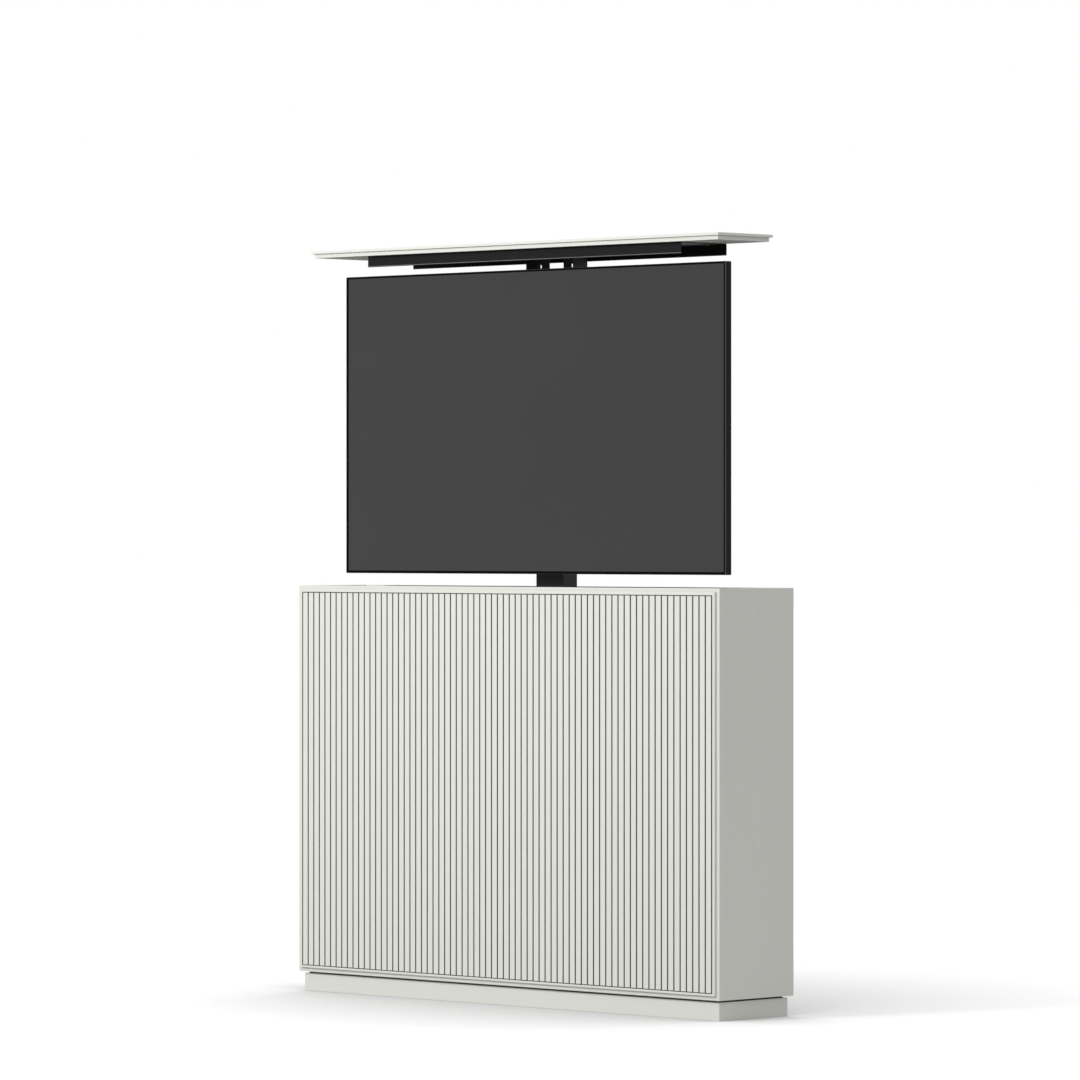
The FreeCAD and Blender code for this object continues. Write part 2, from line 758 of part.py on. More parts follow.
def make_fixings():
    foot_seats = post_bolt_seats(post_bottom + post_flange)
    top_seats = post_bolt_seats(post_top - post_flange)
    foot = [socket_bolt(seat, (0, 0, -1), bolt_length) for seat in foot_seats]
    top = [socket_bolt(seat, (0, 0, 1), bolt_length) for seat in top_seats]
    save("post_bolts", Part.makeCompound(foot + top))
    bracket = [socket_bolt(seat, (0, -1, 0), bracket_bolt_length) for seat in bracket_bolt_seats()]
    save("bracket_bolts", Part.makeCompound(bracket))
    mount = [socket_bolt(seat, (0, -1, 0), mount_screw_length) for seat in mount_screw_seats()]
    save("tv_mount_screws", Part.makeCompound(mount))
    tray = [headed_screw(seat, (0, 0, 1), wood_screw_radius, short_screw_length,
                         wood_screw_head_radius, wood_screw_head) for seat in tray_screw_seats()]
    save("tray_screws", Part.makeCompound(tray))


# ------------------------------------------------------------------ lid
def make_tray():
    """Folded steel channel under the lid, open at the bottom and at both ends."""
    outer = block(tray_left, tray_right, tray_front, tray_back, tray_bottom, tray_top)
    bends = [e for e in outer.Edges
             if abs(e.CenterOfMass.z - tray_top) < 0.001 and abs(e.tangentAt(e.FirstParameter).x) > 0.999]
    outer = outer.makeFillet(tray_bend_radius, bends)
    inner = block(tray_left, tray_right, tray_front + tray_sheet, tray_back - tray_sheet,
                  tray_bottom, post_top)
    bends = [e for e in inner.Edges
             if abs(e.CenterOfMass.z - post_top) < 0.001 and abs(e.tangentAt(e.FirstParameter).x) > 0.999]
    inner = inner.makeFillet(tray_bend_radius - tray_sheet, bends)
    save("lid_tray", cut_all(outer.cut(inner), post_bolt_holes() + tray_screw_holes()))


def make_lid():
    """Board with a rebate all round its underside."""
    inset = lid_rebate
    upper = block(-lid_side, lid_side, lid_front, lid_back, lid_lip_bottom, lid_top)
    rim = [e for e in upper.Edges if abs(e.CenterOfMass.z - lid_top) < 0.001]
    upper = upper.makeChamfer(lid_edge_chamfer, rim)
    lower = block(-lid_side + inset, lid_side - inset, lid_front + inset, lid_back - inset,
                  tray_top, lid_lip_bottom)
    save("lid_board", cut_all(fuse_all([upper, lower]), post_bolt_holes() + tray_screw_holes()))


# ------------------------------------------------------------------ television
def make_bezel():
    outer = block(tv_left, tv_right, tv_front, bezel_back, tv_bottom, tv_top)
    view = block(tv_left + bezel_side, tv_right - bezel_side, tv_front, bezel_back,
                 tv_bottom + bezel_bottom, tv_top - bezel_top)
    pocket = block(tv_left + tv_wall, tv_right - tv_wall, tv_front + bezel_lip, bezel_back,
                   tv_bottom + tv_wall, tv_top - tv_wall)
    save("tv_bezel", cut_all(outer, [view, pocket]))


def make_screen():
    inset = tv_wall + screen_fit
    save("tv_screen", block(tv_left + inset, tv_right - inset, tv_front + bezel_lip, screen_back,
                            tv_bottom + inset, tv_top - inset))


def circuit_places():
    """Centre, width and height of the power board and the main board on the chassis."""
    z = bulge_bottom + circuit_low_margin
    return {"tv_power_board": (lift_x - circuit_side_offset, z, power_board_width, power_board_height),
            "tv_main_board": (lift_x + circuit_side_offset, z, main_board_width, main_board_height)}


def make_chassis():
    """Sheet behind the screen with bosses for the mounting screws and for the circuit boards."""
    margin = chassis_margin
    pieces = [block(tv_left + margin, tv_right - margin, screen_back, chassis_back,
                    tv_bottom + margin, tv_top - margin)]
    for x, y, z in mount_screw_seats():
        pieces.append(rod(boss_radius, (x, chassis_back, z), (0, 1, 0), boss_back - chassis_back))
    for x, z, width, height in circuit_places().values():
        for sx in (-1, 1):
            for sz in (-1, 1):
                place = (x + sx * (width / 2 - circuit_edge), chassis_back,
                         z + sz * (height / 2 - circuit_edge))
                pieces.append(rod(circuit_standoff_radius, place, (0, 1, 0), circuit_standoff))
    save("tv_chassis", cut_all(fuse_all(pieces), mount_screw_holes()))


def make_circuits():
    for name, (x, z, width, height) in circuit_places().items():
        board_back = circuit_front + circuit_thickness
        board = block(x - width / 2, x + width / 2, circuit_front, board_back,
                      z - height / 2, z + height / 2)
        parts = block(x - width / 4, x + width / 4, board_back, circuit_front + component_height,
                      z - height / 4, z + height / 4)
        save(name, fuse_all([board, parts]))


def bulge(inset, y0, y1):
    """The raised middle of the television's back, drawn in by an inset."""
    half = tv_bulge_width / 2 - inset
    shape = block(lift_x - half, lift_x + half, y0, y1,
                  bulge_bottom + inset, bulge_bottom + tv_bulge_height - inset)
    edges = [e for e in shape.Edges if abs(e.tangentAt(e.FirstParameter).y) > 0.999]
    return shape.makeFillet(tv_bulge_radius - inset, edges)


def make_rear_cover():
    """Moulded back: a shallow tray as large as the bezel, with the raised middle on it."""
    wall = tv_wall
    rim = block(tv_left, tv_right, bezel_back, tv_edge_back, tv_bottom, tv_top)
    hollow = block(tv_left + wall, tv_right - wall, bezel_back, tv_edge_back - wall,
                   tv_bottom + wall, tv_top - wall)
    outside = fuse_all([rim, bulge(0, tv_edge_back - wall, tv_back)])
    inside = hollow.fuse(bulge(wall, tv_edge_back - 2 * wall, tv_back - wall))
    save("tv_rear_cover", cut_all(outside.cut(inside), mount_screw_holes()))


# ------------------------------------------------------------------ all pieces
make_plinth()
make_carcass()
make_back()
make_ledges()
make_fluted_panel()
make_bead_frame()
make_grommet()
make_control_box()
make_column_base()
make_drive()
make_outer_stage()
make_mid_stage()
make_inner_stage()
make_head()
make_carrier()
make_vesa_plate()
make_post("post_left", -1)
make_post("post_right", 1)
make_fixings()
make_tray()
make_lid()
make_bezel()
make_screen()
make_chassis()
make_circuits()
make_rear_cover()
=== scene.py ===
"""TV lift cabinet: finished pieces round its packed parts, an add-on that also runs as a script."""
import json
import math

import bmesh
import bpy
import numpy as np
from bpy.types import Operator, Panel, PropertyGroup
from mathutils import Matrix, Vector

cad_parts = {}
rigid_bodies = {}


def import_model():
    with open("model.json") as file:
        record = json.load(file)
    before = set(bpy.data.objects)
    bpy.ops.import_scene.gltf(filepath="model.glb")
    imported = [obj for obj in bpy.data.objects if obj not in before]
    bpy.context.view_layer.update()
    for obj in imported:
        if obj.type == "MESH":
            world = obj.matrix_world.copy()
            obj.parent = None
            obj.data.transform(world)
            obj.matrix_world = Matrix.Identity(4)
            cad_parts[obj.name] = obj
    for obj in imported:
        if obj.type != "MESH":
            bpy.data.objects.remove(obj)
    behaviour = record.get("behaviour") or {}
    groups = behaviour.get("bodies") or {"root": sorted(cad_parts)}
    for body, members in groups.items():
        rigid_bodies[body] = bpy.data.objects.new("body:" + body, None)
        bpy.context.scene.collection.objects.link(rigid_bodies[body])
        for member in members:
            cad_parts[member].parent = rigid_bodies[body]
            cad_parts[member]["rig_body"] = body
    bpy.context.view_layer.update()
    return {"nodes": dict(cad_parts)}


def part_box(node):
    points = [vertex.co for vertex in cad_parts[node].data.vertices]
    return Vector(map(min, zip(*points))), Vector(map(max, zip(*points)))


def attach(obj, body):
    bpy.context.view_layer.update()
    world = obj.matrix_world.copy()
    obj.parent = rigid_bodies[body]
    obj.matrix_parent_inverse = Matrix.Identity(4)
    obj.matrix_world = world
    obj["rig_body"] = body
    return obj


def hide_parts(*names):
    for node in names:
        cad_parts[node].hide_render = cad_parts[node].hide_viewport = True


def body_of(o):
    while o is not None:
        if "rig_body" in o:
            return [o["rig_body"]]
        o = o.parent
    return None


bl_info = {
    "name": "TV Lift Cabinet",
    "version": (1, 0, 0),
    "blender": (4, 5, 0),
    "location": "View3D > Sidebar > Lift Cabinet",
    "description": "Builds the fluted cabinet, its lift and its television round the packed parts",
    "category": "Object",
}

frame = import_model()

MM = 0.001
QUARTER = math.pi / 2
TURN = 2 * math.pi
CREASE = math.radians(35)  # edges sharper than this stay sharp


# ---- properties
def linear(code):
    """sRGB hex to the linear colour that a shader takes, with alpha 1."""
    channels = [int(code[i:i + 2], 16) / 255 for i in (1, 3, 5)]
    return tuple(v / 12.92 if v <= 0.04045 else ((v + 0.055) / 1.055) ** 2.4 for v in channels) + (1.0,)


def length(name, description, default):
    """A length whose default is given in mm."""
    return bpy.props.FloatProperty(name=name, description=description, default=default * MM, min=0.0,
                                   precision=5, subtype="DISTANCE", unit="LENGTH")


def colour(name, description, code):
    return bpy.props.FloatVectorProperty(name=name, description=description, default=linear(code),
                                         min=0.0, max=1.0, size=4, subtype="COLOR")


class CabinetSizes(PropertyGroup):
    """Sizes of the cabinet"""
    board_ease: length("Board ease", "Radius sanded on the boards' visible edges", 1.3)
    slat_count: bpy.props.IntProperty(name="Slats", description="Flat slats across the front",
                                      default=69, min=1)
    groove_width: length("Groove width", "Gap milled between two slats", 3.4)
    end_groove: length("End groove", "Gap milled above and below the slats", 1.8)
    groove_depth: length("Groove depth", "Depth of the milled grooves", 4.0)
    slat_ease: length("Slat ease", "Radius on the slats' edges", 0.9)
    bead_ease: length("Bead ease", "Radius on the bead's edges", 0.9)
    lid_lip: length("Lid lip", "Thickness of the lid's upper, larger part", 6.4)
    lid_rebate: length("Lid rebate", "Step from the lip in to the lower part", 6.0)
    lid_ease: length("Lid ease", "Radius on the lid's edges", 0.8)
    shadow_gap: length("Shadow gap", "Height of the rebate on top of the plinth", 4.5)


class LiftSizes(PropertyGroup):
    """Sizes of the lift"""
    steel_ease: length("Steel ease", "Radius on cut and folded steel edges", 0.45)
    thread_pitch: length("Thread pitch", "Distance between two ridges of a drive screw", 5.0)
    thread_depth: length("Thread depth", "Height of a drive screw's ridges", 1.4)
    screw_bore: length("Screw bore", "Radius of the hollow drive screw's bore", 7.75)
    rib_count: bpy.props.IntProperty(name="Motor ribs", description="Cooling ribs round the motor",
                                     default=20, min=3)
    rib_depth: length("Rib depth", "Height of the motor's ribs", 1.4)


class TelevisionSizes(PropertyGroup):
    """Sizes of the television"""
    bezel_side: length("Bezel side", "Width of the frame at the left and right", 6.0)
    bezel_top: length("Bezel top", "Width of the frame at the top", 5.0)
    bezel_bottom: length("Bezel bottom", "Width of the frame at the bottom", 6.5)
    bezel_lip: length("Bezel lip", "Height of the frame over the glass", 1.5)
    moulded_ease: length("Moulded ease", "Radius on the moulded edges", 0.9)
    wall: length("Wall", "Thickness of the moulded rear cover", 2.0)


class FinishColours(PropertyGroup):
    """Colours of the finishes"""
    lacquer: colour("Lacquer", "Warm off-white spray lacquer", "#E0E1DA")
    # Painted shade: the grooves' lacquer is darkened so that they read shaded.
    groove: colour("Groove", "Dark wash in the narrow grooves", "#60605B")
    # Painted shade: a grey for undersides and bead walls, so that they read darker.
    primer: colour("Primer", "Grey primer under the lacquer", "#9C9C95")
    # Painted shade: the plinth's rebate is darkened so that it reads as a deep gap.
    shadow_gap: colour("Shadow gap", "Dark stain in the rebate on top of the plinth", "#3A3A38")
    powder_coat: colour("Powder coat", "Black powder coat on the lift's plates", "#1E1E1F")
    # The satin coat is painted lighter than the plates' coat, standing in for light that the shaded
    # column and posts miss.
    satin_coat: colour("Satin coat", "Satin powder coat on the column and the posts", "#424243")
    # Painted highlight: a light band on the lid channel's fold.
    painted_fold_highlight: colour("Rubbed coat", "Powder coat rubbed thin on the lid channel's fold", "#777778")
    moulding: colour("Moulding", "Black plastic of the television's frame and back", "#1F1F20")
    rim_paint: colour("Rim paint", "Matt black paint on the front of the television's frame", "#08080A")
    # Painted highlight: lighter than the moulding, on the frame's polished front edge.
    rim_edge: colour("Rim edge", "Polished edge round the front of the television's frame", "#3A3A3B")
    glass: colour("Display glass", "Unlit display behind its glass", "#1A1A1B")
    zinc: colour("Zinc", "Zinc plate on the screws", "#C9CDD2")
    black_oxide: colour("Black oxide", "Black oxide on the socket bolts", "#2A2A2C")
    nylon: colour("Nylon", "Black nylon of the column's guides", "#161617")
    bronze: colour("Bronze", "Bearing bronze of the nuts", "#B08A57")
    screw_steel: colour("Screw steel", "Bright rolled steel of the drive screws", "#B9BABC")
    die_cast: colour("Die-cast", "Die-cast aluminium of the gearbox", "#A9ABAD")
    sheet: colour("Sheet", "Rolled aluminium sheet of the chassis", "#BFC1C3")
    motor: colour("Motor", "Dipped black paint on the motor", "#222326")
    solder_mask: colour("Solder mask", "Green solder mask on the circuit boards", "#1F4A2C")
    pine: colour("Pine", "Planed pine of the battens", "#C9A472")
    beech: colour("Beech", "Turned beech of the dowels", "#C39A6B")
    floor: colour("Floor", "Plain pale studio floor", "#BCBCBC")


def amount(name, description, default, **kind):
    return bpy.props.FloatProperty(name=name, description=description, default=default, min=0.0, **kind)


def degrees(name, description, default):
    return bpy.props.FloatProperty(name=name, description=description, default=math.radians(default),
                                   subtype="ANGLE")


class StudioLight(PropertyGroup):
    """Light of the studio"""
    fill: amount("Fill", "Strength of the even light from all round", 0.66)
    power: amount("Softbox power", "Power of the softbox ahead of the cabinet", 109.0, unit="POWER")
    turn: degrees("Softbox turn", "How far left of straight ahead the softbox stands", 8)
    height: degrees("Softbox height", "How high the softbox stands, seen from the cabinet", 27)
    distance: length("Softbox distance", "From the cabinet's middle to the softbox", 4500)
    size: length("Softbox size", "Width and height of the softbox", 900)
    aim: length("Softbox aim", "Height of the point that the softbox faces", 900)
    floor_lift: amount("Floor lift", "Light given back by the open floor where it is seen", 0.76)
    floor_reach: length("Floor reach", "How far the object's contact shadow reaches", 1700)
    floor_falloff: amount("Floor falloff", "How fast the contact shadow deepens towards the object", 1.9)


def group(name, kind):
    return bpy.props.PointerProperty(name=name, description=kind.__doc__, type=kind)


class LiftCabinet(PropertyGroup):
    """Settings of the TV lift cabinet"""
    cabinet: group("Cabinet", CabinetSizes)
    lift: group("Lift", LiftSizes)
    television: group("Television", TelevisionSizes)
    colours: group("Colours", FinishColours)
    studio: group("Studio", StudioLight)


# ---- shapes from whole arrays
def corners_of(node):
    """Lowest and highest corner of a packed part."""
    return tuple(np.array(corner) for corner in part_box(node))


# A shape is (points, faces): points is an array of corners, faces a list of arrays of corner numbers.
def quads(rows, columns, wrap_rows=False, wrap_columns=False):
    """Corner numbers of a grid's quads; wrapping joins the last row or column to the first."""
    r = np.arange(rows if wrap_rows else rows - 1)[:, None]
    c = np.arange(columns if wrap_columns else columns - 1)[None, :]
    r2, c2 = (r + 1) % rows, (c + 1) % columns
    corners = (r * columns + c, r * columns + c2, r2 * columns + c2, r2 * columns + c)
    return np.stack(np.broadcast_arrays(*corners), axis=-1).reshape(-1, 4)


def stacked(rings):
    """Skin over rings of points, one ring a row, closed by a flat end at the first and the last."""
    levels, around = rings.shape[:2]
    ends = [np.arange(around)[None, ::-1], np.arange(around)[None] + (levels - 1) * around]
    return rings.reshape(-1, 3), [quads(levels, around, wrap_columns=True), *ends]


def looped(rings):
    """Skin over rings of points, one ring a row, whose last ring joins the first."""
    levels, around = rings.shape[:2]
    return rings.reshape(-1, 3), [quads(levels, around, wrap_rows=True, wrap_columns=True)]


def backed(face, back_y):
    """Closed solid from a sheet of points back to a flat one at a place along Y, walled all round."""
    back = face.copy()
    back[..., 1] = back_y
    rows, columns = face.shape[:2]
    sheet = quads(rows, columns)
    numbers = np.arange(rows * columns).reshape(rows, columns)
    rim = np.concatenate([numbers[0, :-1], numbers[:-1, -1], numbers[-1, :0:-1], numbers[:0:-1, 0]])
    after = np.roll(rim, -1)
    offset = rows * columns
    wall = np.stack([rim, rim + offset, after + offset, after], axis=-1)
    points = np.concatenate([face.reshape(-1, 3), back.reshape(-1, 3)])
    return points, [sheet, sheet[:, ::-1] + offset, wall]


def joined(*shapes):
    """Several shapes as one."""
    starts = np.cumsum([0] + [len(points) for points, _ in shapes])
    faces = [block + start for (_, blocks), start in zip(shapes, starts) for block in blocks]
    return np.concatenate([points for points, _ in shapes]), faces


def copied(shape, places):
    """The shape moved to each of several places."""
    points, blocks = shape
    places = np.asarray(places, float)
    step = np.arange(len(places))[:, None, None] * len(points)
    moved = (points[None] + places[:, None]).reshape(-1, 3)
    return moved, [(block[None] + step).reshape(-1, block.shape[1]) for block in blocks]


def aimed(shape, direction):
    """The shape turned so that its local Z runs along a direction."""
    third = np.asarray(direction, float)
    first = np.cross((0.0, 1.0, 0.0) if abs(third[1]) < 0.9 else (1.0, 0.0, 0.0), third)
    basis = np.stack([first, np.cross(third, first), third])
    return shape[0] @ basis, shape[1]


def values(items, key, width=1, kind=float):
    """A value of each item of a mesh's list as an array, one item a row where it has several numbers."""
    read = np.empty(len(items) * width, kind)
    items.foreach_get(key, read)
    return read.reshape(-1, width) if width > 1 else read


def added(name, data):
    """A new object in the scene."""
    made = bpy.data.objects.new(name, data)
    bpy.context.scene.collection.objects.link(made)
    return made


def evenly(count):
    """Angles of points spaced evenly round a circle."""
    return np.arange(count) * TURN / count


def turned(radius, angle, level, axis=2, centre=(0.0, 0.0, 0.0)):
    """Rings of points round an axis: a radius at each angle, and a level along the axis for each ring."""
    rings = np.empty(radius.shape + (3,))
    for i, share in zip([i for i in range(3) if i != axis], (np.cos(angle), np.sin(angle))):
        rings[..., i] = centre[i] + radius * share
    rings[..., axis] = level
    return rings


def quarter_round(radius, steps=3):
    """Run and rise of a quarter circle that starts up a wall and ends level with the face."""
    angle = np.linspace(0, QUARTER, steps + 1)
    return radius * (1 - np.cos(angle)), radius * np.sin(angle)


def framed(rows, low, high, radius, axis=1):
    """Rings of rounded rectangles across an axis, one for each (inset, level).

    A ring is drawn in from a box by the inset, or by its left, right, bottom and top insets, and lies at
    the level along the axis. Each corner is a quarter circle centred a radius inside both sides.
    """
    across = [i for i in range(3) if i != axis]
    insets = np.array([np.broadcast_to(inset, 4) for inset, _ in rows])[:, None]
    near, far = low[across] + insets[..., [0, 2]], high[across] - insets[..., [1, 3]]
    steps = np.linspace(0, QUARTER, 5)
    angle = (steps + np.arange(4)[:, None] * QUARTER).ravel()
    side = np.repeat([[1, 1], [-1, 1], [-1, -1], [1, -1]], len(steps), axis=0)
    radius = np.broadcast_to(radius, len(rows))[:, None, None]
    rings = np.empty((len(rows), len(angle), 3))
    rings[..., across] = ((near + far) / 2 + side * ((far - near) / 2 - radius)
                          + radius * np.stack([np.cos(angle), np.sin(angle)], axis=-1))
    rings[..., axis] = np.array([level for _, level in rows])[:, None]
    return rings


def slab(low, high, ease, corner):
    """Upright plate between two corners: an outline carried along Y, each rim a quarter round."""
    run, rise = quarter_round(ease)
    inset, level = np.r_[run[::-1], run], np.r_[low[1] + ease - rise[::-1], high[1] - ease + rise]
    return stacked(framed(list(zip(inset, level)), low, high, corner))


def meshed(name, shape):
    """A shape as a mesh whose faces point outwards."""
    points, blocks = shape
    mesh = bpy.data.meshes.new(name)
    mesh.from_pydata(points, [], [face for block in blocks for face in block.tolist()])
    shell = bmesh.new()
    shell.from_mesh(mesh)
    bmesh.ops.recalc_face_normals(shell, faces=shell.faces)
    shell.to_mesh(mesh)
    shell.free()
    return mesh


def piece(name, shape, material, node, crease=CREASE):
    """A mesh piece that stands for a packed part and rides its body, smooth up to a crease angle."""
    return finished(name, meshed(name, shape), material, node, crease)


def recoated(made, material, faces):
    """Gives some of a piece's faces a further finish."""
    made.data.materials.append(material)
    index = values(made.data.polygons, "material_index", 1, np.int32)
    index[faces] = len(made.data.materials) - 1
    made.data.polygons.foreach_set("material_index", index)


def carved(name, shape, cutter):
    """A shape's mesh with another shape cut out of it."""
    solids = [added(name, meshed(name, each)) for each in (shape, cutter)]
    carve = solids[0].modifiers.new("Openings", "BOOLEAN")
    carve.operation = "DIFFERENCE"
    carve.solver = "MANIFOLD"
    carve.object = solids[1]
    bpy.context.view_layer.update()
    mesh = bpy.data.meshes.new_from_object(solids[0].evaluated_get(bpy.context.evaluated_depsgraph_get()))
    mesh.materials.clear()  # the cut leaves an empty slot, which the faces would point to
    for solid in solids:
        bpy.data.objects.remove(solid)
    return mesh


def finished(name, mesh, material, node, crease=CREASE):
    """Shades a mesh smooth with its large faces kept flat, and hangs it on the packed part's body."""
    mesh.shade_smooth()
    mesh.set_sharp_from_angle(angle=crease)
    mesh.materials.append(material)
    made = added(name, mesh)
    made.modifiers.new("Level faces", "WEIGHTED_NORMAL").keep_sharp = True
    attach(made, body_of(frame["nodes"][node])[0])
    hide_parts(node)
    return made


def eased_copy(name, node, material, ease, glued=()):
    """A packed part with its sharp edges rounded, except edges that lie in a glued plane (axis, place).

    The copy is merged first. An edge's bevel weight is 1 where it is sharp and 0 where both its ends
    lie in a glued plane.
    """
    mesh = bpy.data.meshes.new(name)
    shell = bmesh.new()
    shell.from_mesh(frame["nodes"][node].data)
    bmesh.ops.remove_doubles(shell, verts=shell.verts, dist=1e-6)
    bmesh.ops.dissolve_limit(shell, angle_limit=math.radians(0.5), verts=shell.verts, edges=shell.edges)
    shell.to_mesh(mesh)
    shell.free()
    made = finished(name, mesh, material, node)
    sharp = values(mesh.attributes["sharp_edge"].data, "value", 1, bool)
    corners = values(mesh.vertices, "co", 3)[values(mesh.edges, "vertices", 2, int)]
    for axis, place in glued:
        sharp &= ~np.all(np.abs(corners[..., axis] - place) < 1e-5, axis=1)
    weights = mesh.attributes.new("bevel_weight_edge", "FLOAT", "EDGE")
    weights.data.foreach_set("value", sharp.astype(np.float32))
    bevel = made.modifiers.new("Eased edges", "BEVEL")
    bevel.limit_method = "WEIGHT"
    bevel.width = ease
    bevel.segments = 3
    made.modifiers.move(1, 0)
    return made


# ---- finishes
def add(tree, kind, inputs=None, feeds=(), stops=(), **settings):
    """Adds a node with its settings, its inputs' values or links, the sockets that its first output
    feeds, and a colour ramp's stops."""
    made = tree.nodes.new(kind)
    for key, value in settings.items():
        setattr(made, key, value)
    for key, value in (inputs or {}).items():
        if isinstance(value, bpy.types.NodeSocket):
            tree.links.new(value, made.inputs[key])
        else:
            made.inputs[key].default_value = value
    for socket in feeds:
        tree.links.new(made.outputs[0], socket)
    for stop, (place, shade) in zip(made.color_ramp.elements if stops else (), stops):
        stop.position = place
        stop.color = shade
    return made


def tinted(base, factor):
    """A colour made lighter or darker by a factor."""
    return tuple(min(1.0, v * factor) for v in base[:3]) + (1.0,)


def surface(name, base, metallic=0.0, specular=0.5):
    """A new material, its node tree, its shader and the place on the object in metres."""
    made = bpy.data.materials.new(name)
    made.use_nodes = True
    tree = made.node_tree
    shader = tree.nodes["Principled BSDF"]
    for socket, value in (("Base Color", base), ("Metallic", metallic), ("Specular IOR Level", specular)):
        shader.inputs[socket].default_value = value
    return made, tree, shader, add(tree, "ShaderNodeTexCoord").outputs["Object"]


def patterned(name, coat, grain, spread, rough, depth=0.0, metallic=0.0, specular=0.5,
              kind="ShaderNodeTexNoise", output="Fac", bands=None, **inputs):
    """A material whose coat a texture works on, its grain one size in mm or sizes along X, Y and Z.

    As the texture goes from 0.3 to 0.7, the colour lightens from below the coat's own to above it, by
    the spread, and the roughness goes from least to most. The face rises with it by the depth in mm.
    """
    base = getattr(bpy.context.scene.lift_cabinet.colours, coat)
    made, tree, shader, place = surface(name, base, metallic, specular)
    if isinstance(grain, tuple):
        scale = [1 / (size * MM) for size in grain]
        place = add(tree, "ShaderNodeMapping", {"Vector": place, "Scale": scale}).outputs["Vector"]
        grain = 1 / MM
    settings = {"bands_direction": bands} if bands else {}
    texture = add(tree, kind, {"Vector": place, "Scale": 1 / (grain * MM), **inputs}, **settings)
    pattern = texture.outputs[output]
    add(tree, "ShaderNodeValToRGB", {"Fac": pattern}, [shader.inputs["Base Color"]],
        stops=((0.3, tinted(base, 1 - spread)), (0.7, tinted(base, 1 + spread))))
    add(tree, "ShaderNodeMapRange",
        {"Value": pattern, "From Min": 0.3, "From Max": 0.7, "To Min": rough[0], "To Max": rough[1]},
        [shader.inputs["Roughness"]])
    if depth:
        add(tree, "ShaderNodeBump", {"Height": pattern, "Distance": depth * MM},
            [shader.inputs["Normal"]])
    return made


BAND = 10 / math.pi  # a wave texture has one band per pi / 10 of its coordinate


def row(*given, **further):
    """What patterned takes: the coat, its grain in mm, its spread, its least and most roughness and its
    depth in mm, and what differs from a plain noise on a dull surface."""
    return given, further


# Each finish is named for its material and how it was made, or for the painted shade or highlight that it
# carries.
FINISHES = {
    # Painted shade: matt grey with dust on it, put on undersides and walls so that they read darker
    # than the faces beside them.
    "grey_primer": row("primer", 1.2, 0.03, (0.62, 0.74), 0.02, specular=0.25),
    # Powder coat with fine pebbles: satin on the column and the posts, painted lighter than the plates'
    # coat to make up for the shade they stand in, and matt on the plates.
    "satin_powder_coated_steel": row("satin_coat", 0.9, 0.12, (0.42, 0.58), 0.04, specular=0.12),
    "matt_powder_coated_steel": row("powder_coat", 0.9, 0.12, (0.42, 0.58), 0.04, specular=0.05),
    # ABS: black, with the pits of its spark-eroded mould.
    "moulded_abs": row("moulding", 0.7, 0.06, (0.4, 0.52), 0.03, specular=0.07,
                       kind="ShaderNodeTexVoronoi", output="Distance"),
    # Matt paint with a mist of spray on the television's front rim: the deepest black, which frames
    # the glass.
    "painted_rim": row("rim_paint", 1, 0.05, (0.55, 0.65), specular=0.02),
    # Polished moulding with a little haze round the front's outer edge: its gloss catches a thin light
    # line, and its colour is painted lighter than the moulding as a painted highlight on that line.
    "polished_rim": row("rim_edge", 12, 0.04, (0.22, 0.28), specular=0.9, Detail=1.0),
    # Glass with an etched anti-glare face over an unlit panel: near black, with a soft sheen.
    "display_glass": row("glass", 180, 0.04, (0.15, 0.18), Detail=1.0),
    # Zinc plate: bright blue-grey, slightly cloudy.
    "zinc_plated_steel": row("zinc", 1.5, 0.07, (0.24, 0.4), metallic=1.0, Detail=3.0),
    # Black oxide: a thin, cloudy, oiled black skin that still reads as metal.
    "black_oxide_steel": row("black_oxide", 1.2, 0.12, (0.32, 0.46), metallic=0.8, Detail=3.0),
    # Nylon: matt black and fine-grained, with a waxy look.
    "moulded_nylon": row("nylon", 0.8, 0.1, (0.5, 0.62), 0.02, specular=0.25),
    # Bearing bronze: warm metal with fine tool lines.
    "turned_bronze": row("bronze", 0.8 * BAND, 0.08, (0.26, 0.4), metallic=1.0,
                         kind="ShaderNodeTexWave", bands="Z", Distortion=0.4),
    # Screw steel: bright and lightly greased, with marks along the thread.
    "rolled_screw_steel": row("screw_steel", 2, 0.08, (0.2, 0.38), metallic=1.0, Detail=3.0),
    # Cast aluminium: dull grey metal with flow marks on a slightly rough skin.
    "die_cast_aluminium": row("die_cast", 9, 0.1, (0.42, 0.58), 0.1, metallic=1.0, Detail=4.0),
    # Aluminium sheet: bright, with the mill's lines running across.
    "rolled_aluminium_sheet": row("sheet", (90, 1000, 1), 0.07, (0.28, 0.44), metallic=1.0, Detail=3.0),
    # Dipped paint on a steel housing: thick, black and satin, with slight sags.
    "dipped_motor_paint": row("motor", 6, 0.1, (0.3, 0.44), 0.08, specular=0.4, Detail=1.0),
    # Pine: pale wood with darker growth lines along its length.
    "planed_pine": row("pine", (6 * BAND, 6 * BAND, 150 * BAND), 0.14, (0.5, 0.68), 0.08,
                       kind="ShaderNodeTexWave", bands="X", Distortion=5.0, Detail=3.0,
                       **{"Detail Scale": 1.5}),
    # Beech: even pinkish wood with short dark flecks.
    "turned_beech": row("beech", 1.5, 0.12, (0.52, 0.66)),
}
# Lacquer on veneered board: satin, with pores just showing along the grain, drawn coarser than real ones
# so that they show. There is one for each way that the grain runs.
for way, pores in (("X", (120, 3, 3)), ("Y", (3, 120, 3)), ("Z", (3, 3, 120))):
    FINISHES["sprayed_lacquer." + way] = row("lacquer", pores, 0.018, (0.38, 0.46), 0.03, specular=0.4,
                                             Detail=3.0, Roughness=0.6)


def finish(name):
    """The named finish, which is made when it is first asked for."""
    if name in bpy.data.materials:
        return bpy.data.materials[name]
    given, further = FINISHES[name]
    return patterned(name, *given, **further)


